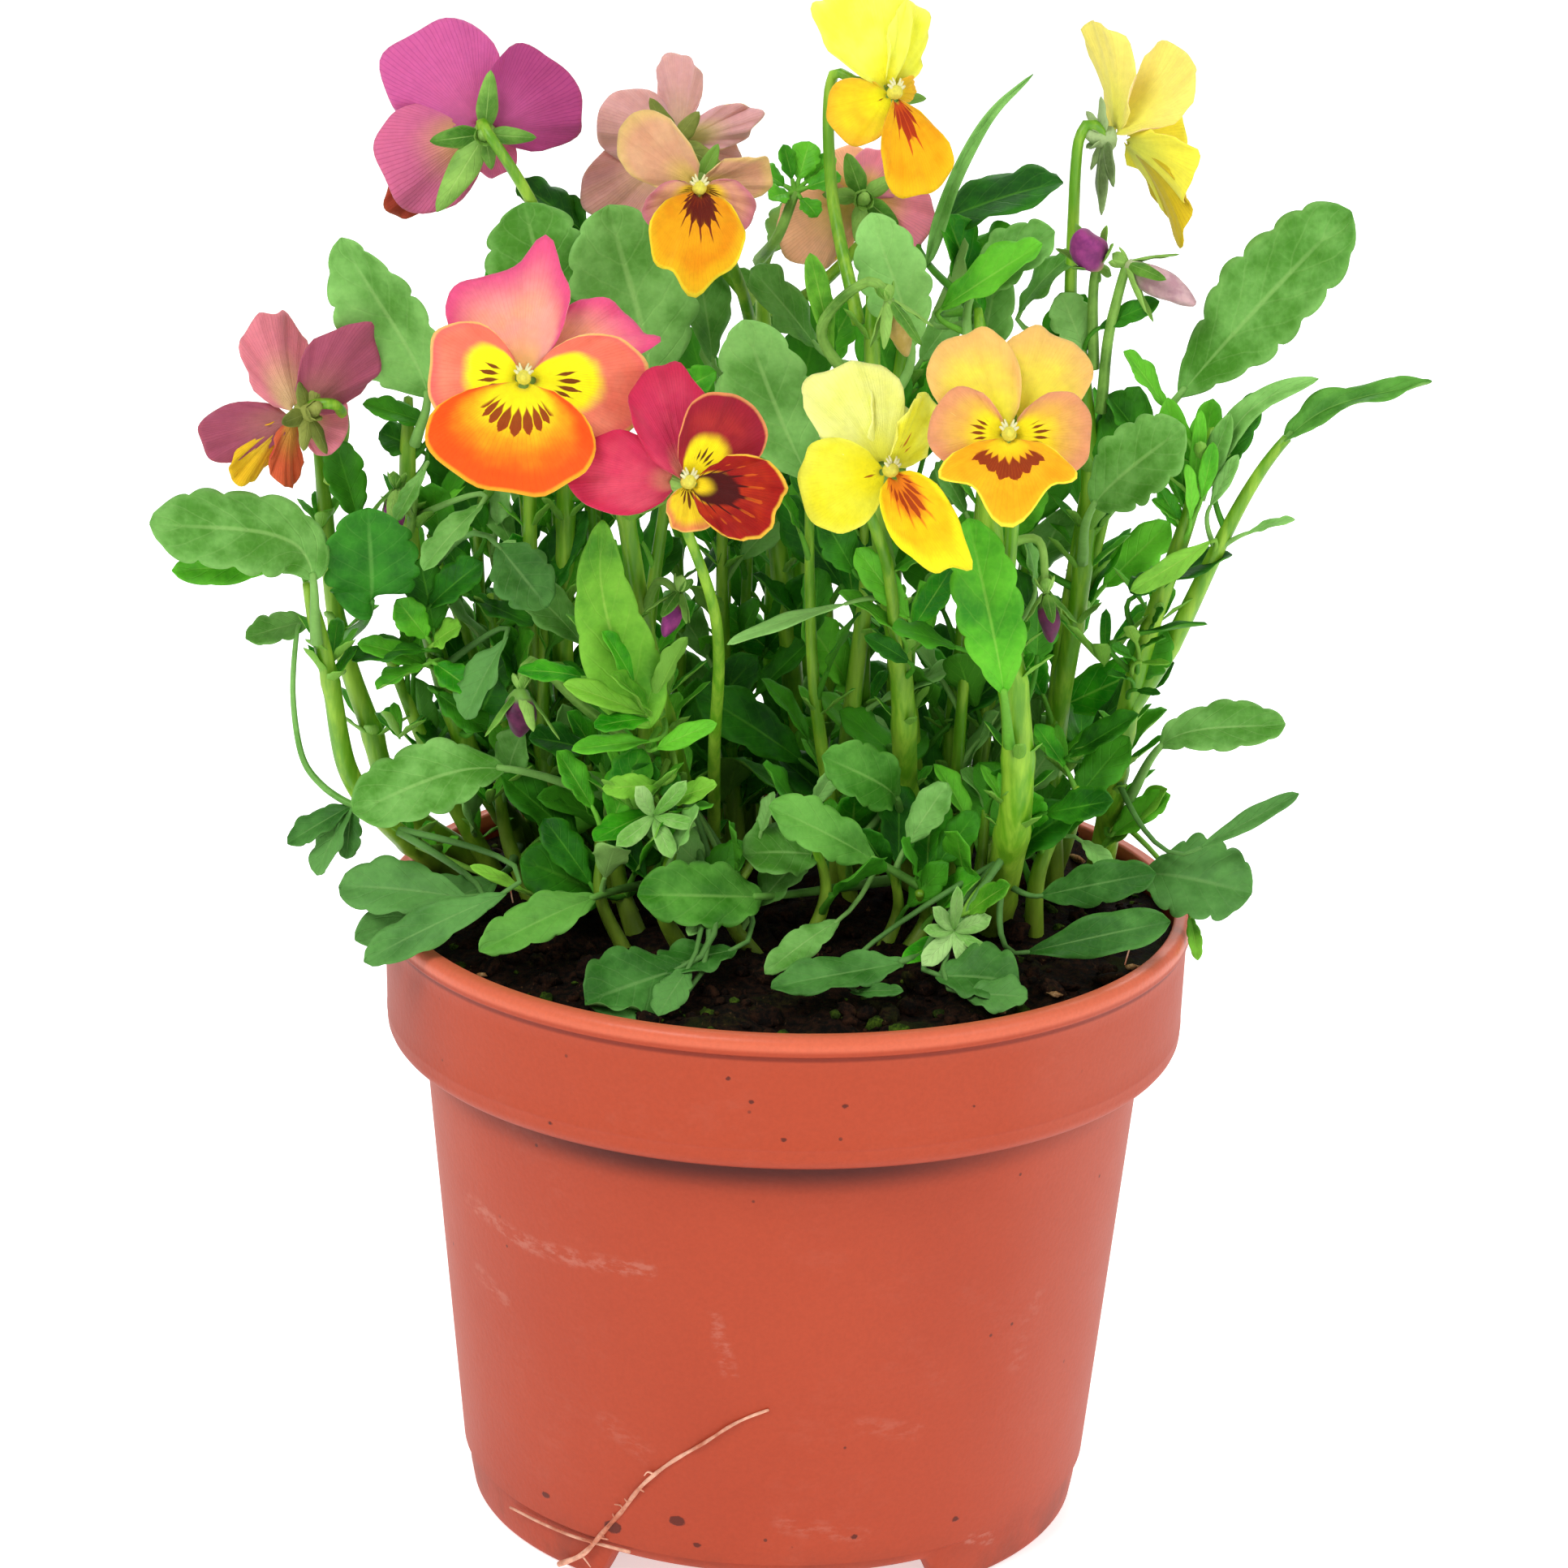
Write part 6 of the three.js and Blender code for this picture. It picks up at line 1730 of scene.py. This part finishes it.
# The knob in a flower's throat, and the two pale tufts beside it.
def knob_material():
    g = Graph("throat_knob")
    *_, tint = g.mark()
    fine = g.noise(0.5, 3)
    colour = g.mix(tint.step(0.5, 0.8), (222, 214, 80), (226, 222, 170))
    colour = g.bright(colour, fine.step(0.3, 0.7, 0.85, 1.05))
    return g.finish(colour, 0.6 + (fine - 0.5) * 0.1, fine, 0.08, specular=0.3)


knobs = []
for name in ("rose", "crimson", "lemon", "apricot", "yellow", "peach"):
    throat, facing, _ = FLOWERS[name]
    face = unit(seen(*facing))
    start = np.array(throat, float) - face * 1.2
    path = resample([start, start + face * 1.6, start + face * 2.5 - UP * 0.3], 8)
    knobs.append(tube_shell(path, np.interp(np.linspace(0, 1, 8), [0, 0.6, 1], [1.0, 1.15, 0.6]),
                            10, 0.2))
    for way in (-1, 1):
        for rise, reach, thick in ((0.7, 1.7, 0.34), (1.5, 2.0, 0.28), (3.0, 2.2, 0.26)):
            out = square_to(seen(way, rise, 0), face)
            path = resample([start + out * 0.6 + face * 0.6, start + out * reach * 0.6 + face * 1.7,
                             start + out * reach + face * 1.5], 7)
            knobs.append(tube_shell(path, np.interp(np.linspace(0, 1, 7), [0, 0.5, 1],
                                                    [thick, thick, thick * 0.5]), 8, 0.9))
add_piece("throat_knobs", knobs, knob_material())


# ---- Buds ----------------------------------------------------------------------------------------

def bud_material(name, base, edge, green):
    g = Graph(name)
    along, _, _, tint = g.mark()
    streak = g.noise(2.0, 4, 0.6)
    colour = g.mix(streak.step(0.35, 0.7), base, edge)
    colour = g.mix((along + (streak - 0.5) * 0.3).step(0.34, 0.12), colour, green)
    colour = g.bright(colour, tint * 0.2 + 0.9)
    fine = g.noise(0.7, 3)
    return g.finish(colour, streak.step(0.3, 0.7, 0.5, 0.68), fine * 0.4 + streak * 0.6, 0.12,
                    specular=0.3, sheen=0.15, glow=0.12)


BUD_LOOKS = {  # base, streaks, green end, body radius, length, sepal length
    "purple": ((122, 34, 106), (156, 56, 128), (150, 120, 50), 2.8, 9, 6),
    "pink": ((180, 136, 146), (206, 170, 172), (170, 180, 130), 2.2, 12, 9),
    "low": ((70, 14, 52), (104, 34, 76), (110, 160, 60), 2.4, 8, 8),
    "spent": ((176, 150, 70), (206, 176, 110), (110, 150, 60), 1.8, 8, 8),
}
BUD_MATERIALS = {name: bud_material("bud_coat_" + name, *look[:3])
                 for name, look in BUD_LOOKS.items()}
bud_chance = np.random.default_rng(61)


def bud_shell(crest, tip, radius, chance):
    """A rolled bud from its crest to its tip: a spindle with spiral folds."""
    crest, tip = np.asarray(crest, float), np.asarray(tip, float)
    path = resample([crest, crest * 0.5 + tip * 0.5, tip], 22)
    share = np.linspace(0, 1, 22)
    size = radius * np.sin(math.pi * np.clip(share * 0.86 + 0.10, 0, 1)) ** 0.75
    return tube_shell(path, np.maximum(size, 0.25), 18, chance.uniform(0.3, 0.8), ridge=0.13,
                      ridges=3, twist=2.2)


for name, (*_, radius, length, sepal) in BUD_LOOKS.items():
    centres, _ = ring_path("bud_" + name, stem_gap)
    if name == "purple":
        centres = centres + np.linspace(0, 1, len(centres))[:, None] ** 2 * (0, 0, 4.0)
    tip = centres[-1]
    behind = np.linalg.norm(centres - tip, axis=1)
    stalk_end = int(np.argmin(np.abs(behind - length)))
    crest = centres[stalk_end]
    add_piece("bud_body_" + name, [bud_shell(crest, tip, radius, bud_chance)],
              BUD_MATERIALS[name], ("bud_" + name,))
    way = unit(crest - tip)
    shells = [tapered(centres[:stalk_end + 1], 20, 0.95, 0.75, 9, 0.6)]
    shells += sepal_shells(crest - way * 0.6, way, bud_chance, sepal, 2.0, 0.34)
    add_piece("bud_sepals_" + name, shells, SEPAL_MATERIAL)

# Buds that have no solid of their own: foot, bend, crest, tip, radius, look.
LOOSE_BUDS = (
    ((32, -18, 166), (37, -19, 167), (38.5, -22, 159), (39.5, -23, 152), 1.6, "low"),
    ((-30, -10, 150), (-21, -16, 158), (-17.8, -20, 157), (-19.8, -22, 151), 1.5, "purple"),
    ((-55, 0, 160), (-60, -2, 168), (-62.5, -4, 168), (-63, -5, 161), 1.6, "purple"),
)
for index, (foot, bend, crest, tip, radius, look) in enumerate(LOOSE_BUDS):
    foot, bend, crest, tip = (np.array(p, float) for p in (foot, bend, crest, tip))
    way = unit(crest - tip)
    foot = nearest_stem(foot, 0)
    shells = [tapered([foot, bend, crest + way * 0.4], 18, 0.8, 0.6, 8, 0.6)]
    shells += sepal_shells(crest, way, bud_chance, 5.5, 1.9, 0.34)
    add_piece(f"loose_bud_sepals_{index + 1}", shells, SEPAL_MATERIAL)
    add_piece(f"loose_bud_{index + 1}", [bud_shell(crest, tip, radius, bud_chance)],
              BUD_MATERIALS[look])


# A knot of young leaves at the top of a shoot, and two thin curved blades on the right.
knot_chance = np.random.default_rng(83)
knot_foot = nearest_stem(np.array((-4.0, 6.0, 200.0)), 0)
knot_top = np.array((-1.5, 6.0, 215.0))
add_piece("young_shoot", [tapered([knot_foot, (-4.0, 6.0, 208.0), knot_top], 16, 1.0, 0.8, 8,
                                  0.7)], SEPAL_MATERIAL)
shells = []
for (right, up, near), width in (((7, 2.5, 1), 4.5), ((-6.5, 3.5, 0), 4.5), ((2, 8, -1), 5.0),
                                 ((6, 6, -2), 3.6), ((-4, -1.5, 3), 4.0), ((3.5, -4, 2), 3.8),
                                 ((-2, 7, 2), 3.4)):
    tip = knot_top + seen(right, up, near)
    shells += small_leaf(knot_top + seen(right, up, near) * 0.25, tip, width, "filler",
                         knot_chance, knot_chance.uniform(0.5, 0.9), knot_top)
add_piece("young_leaves", shells, LEAF_MATERIALS["fresh"])
blade = resample([(19, 4, 203), (21, 4, 212), (24, 4, 220.5), (28.5, 4, 228.5),
                  (34.5, 4, 234.5)], 12)
shells = leaf_shells(blade, np.array([(0.35, -0.9, 0.3)] * 12), 2.5, "extra", 0.6, 0.05, 0.6,
                     teeth=2, tooth=0.02, fold=0.5, widest=0.22, base=0.5, point=1.5,
                     ruffle=0.1, quilt=0.02, phase=0.0)
blade = resample([(62.7, -6, 170.7), (65.1, -7, 178.1), (68.2, -8, 184.3), (72.9, -8, 188.2),
                  (79.6, -8, 190.9)], 12)
shells += leaf_shells(blade, np.array([(-0.45, -0.8, 0.4)] * 12), 4.2, "extra", 0.6, 0.12, 0.6,
                      teeth=3, tooth=0.08, fold=0.3, widest=0.4, base=0.7, point=1.7,
                      ruffle=0.2, quilt=0.03, phase=0.0)
add_piece("thin_blades", shells, LEAF_MATERIALS["grey"])


# ---- The root that hangs out of the foot's notch, and hairs on the soil --------------------------

def root_material():
    g = Graph("root")
    fine = g.noise(0.8, 3, 0.6)
    broad = g.noise(5, 3)
    colour = g.mix(broad.step(0.35, 0.65), (232, 178, 150), (190, 112, 84))
    colour = g.bright(colour, fine.step(0.3, 0.7, 0.8, 1.05))
    return g.finish(colour, fine.step(0.3, 0.7, 0.6, 0.8), fine, 0.12, specular=0.25)


root_paths, root_radii = ring_path("root")
root_chance = np.random.default_rng(67)
ROOT_STEPS = 44
main_root = resample(root_paths, ROOT_STEPS)
share = np.linspace(0, 1, ROOT_STEPS)
for axis in range(3):
    main_root[:, axis] += 0.18 * np.sin(share * root_chance.uniform(14, 24)
                                        + root_chance.uniform(0, 6))
root_size = np.interp(share, np.linspace(0, 1, len(root_radii)), root_radii)
shells = [tube_shell(main_root, root_size * (1 + 0.12 * np.sin(share * 60)), 10, 0.5)]
for spot_at in (5, 7, 8, 10, 11, 13, 14, 16, 18, 21, 24):
    spot = main_root[spot_at]
    way = unit(root_chance.normal(size=3) * (1, 0.25, 0.8) + (0.1, -0.3, 0.1))
    reach = root_chance.uniform(0.9, 2.6)
    end = spot + way * reach
    end[2] = max(end[2], 0.6)
    middle = (spot + end) / 2 + root_chance.normal(0, 0.3, 3)
    shells.append(tapered([spot, middle, end], 8, 0.20, 0.09, 6))
# A second thin root runs along the foot: angle and height.
SIDE_ROOT_CIRCLE = 51.3
side_course = ((-55, 6.2), (-46, 6.8), (-38, 7.0), (-31.6, 7.3), (-25.5, 7.4))
side_root = [(SIDE_ROOT_CIRCLE * math.sin(math.radians(a)),
              -SIDE_ROOT_CIRCLE * math.cos(math.radians(a)), z) for a, z in side_course]
shells.append(tapered(side_root, 30, 0.22, 0.30, 8, 0.6))
add_piece("root_and_rootlets", shells, root_material(), ("root",))

hairs = []
for (x, y), (dx, dy), rise in (((54.4, -3), (-1.0, -17), 4.0), ((-50, 10), (6, -9), 2.5),
                               ((12, 54), (-10, 3), 2.0), ((-16, -55), (7, -1), 1.2)):
    ends = [(x, y), (x + dx * 0.5 + 1.5, y + dy * 0.5), (x + dx, y + dy)]
    heights = [soil_top(a, b) + 0.5 for a, b in ends]
    line = [(a, b, h + (rise if k == 1 else 0.4)) for k, ((a, b), h) in
            enumerate(zip(ends, heights))]
    hairs.append(tapered(line, 16, 0.22, 0.12, 6))
add_piece("dry_root_hairs", hairs, root_material())

# ---- Floor, world and lights ---------------------------------------------------------------------

FLOOR_SIZE = 6.0  # metres
FLOOR_COLOUR = (247, 247, 246)
FLOOR_GLOW = 0.55
SKY_STRENGTH = 0.52
# Each light: name, place, what it aims at, size in metres, watts.
LIGHTS = (
    ("key", (-0.55, -0.75, 1.1), (0, 0, 0.13), 0.6, 9.0),
    ("fill", (0.9, -0.6, 0.6), (0, 0, 0.13), 0.8, 4.0),
    ("rim", (0.2, 0.9, 0.9), (0, 0, 0.15), 0.7, 5.0),
)


def add_floor():
    mesh = bpy.data.meshes.new("floor")
    half = FLOOR_SIZE / 2
    mesh.from_pydata([(-half, -half, 0), (half, -half, 0), (half, half, 0), (-half, half, 0)],
                     [], [(0, 1, 2, 3)])
    floor = bpy.data.objects.new("floor", mesh)
    bpy.context.scene.collection.objects.link(floor)
    material = bpy.data.materials.new("floor")
    material.use_nodes = True
    shader = material.node_tree.nodes["Principled BSDF"]
    shader.inputs["Base Color"].default_value = linear(FLOOR_COLOUR)
    shader.inputs["Roughness"].default_value = 0.8
    shader.inputs["Emission Color"].default_value = (1, 1, 1, 1)
    shader.inputs["Emission Strength"].default_value = FLOOR_GLOW
    mesh.materials.append(material)


def add_light(name, place, aim, size, watts):
    data = bpy.data.lights.new(name, "AREA")
    data.shape = "DISK"
    data.size = size
    data.energy = watts
    light = bpy.data.objects.new(name, data)
    bpy.context.scene.collection.objects.link(light)
    back = unit(np.array(place) - np.array(aim))
    side = unit(np.cross(UP, back))
    matrix = np.eye(4)
    matrix[:3, 0], matrix[:3, 1], matrix[:3, 2] = side, np.cross(back, side), back
    matrix[:3, 3] = place
    light.matrix_world = Matrix(matrix.tolist())


add_floor()
world = bpy.data.worlds.new("studio")
world.use_nodes = True
sky = world.node_tree
seen_white, soft = sky.nodes.new("ShaderNodeBackground"), sky.nodes["Background"]
for node, strength in ((seen_white, 1.0), (soft, SKY_STRENGTH)):
    node.inputs[0].default_value = (1, 1, 1, 1)
    node.inputs[1].default_value = strength
rays = sky.nodes.new("ShaderNodeLightPath")
pick = sky.nodes.new("ShaderNodeMixShader")
sky.links.new(rays.outputs["Is Camera Ray"], pick.inputs[0])
sky.links.new(soft.outputs[0], pick.inputs[1])
sky.links.new(seen_white.outputs[0], pick.inputs[2])
sky.links.new(pick.outputs[0], sky.nodes["World Output"].inputs[0])
bpy.context.scene.world = world
for light in LIGHTS:
    add_light(*light)
bpy.context.scene.view_settings.view_transform = "Standard"
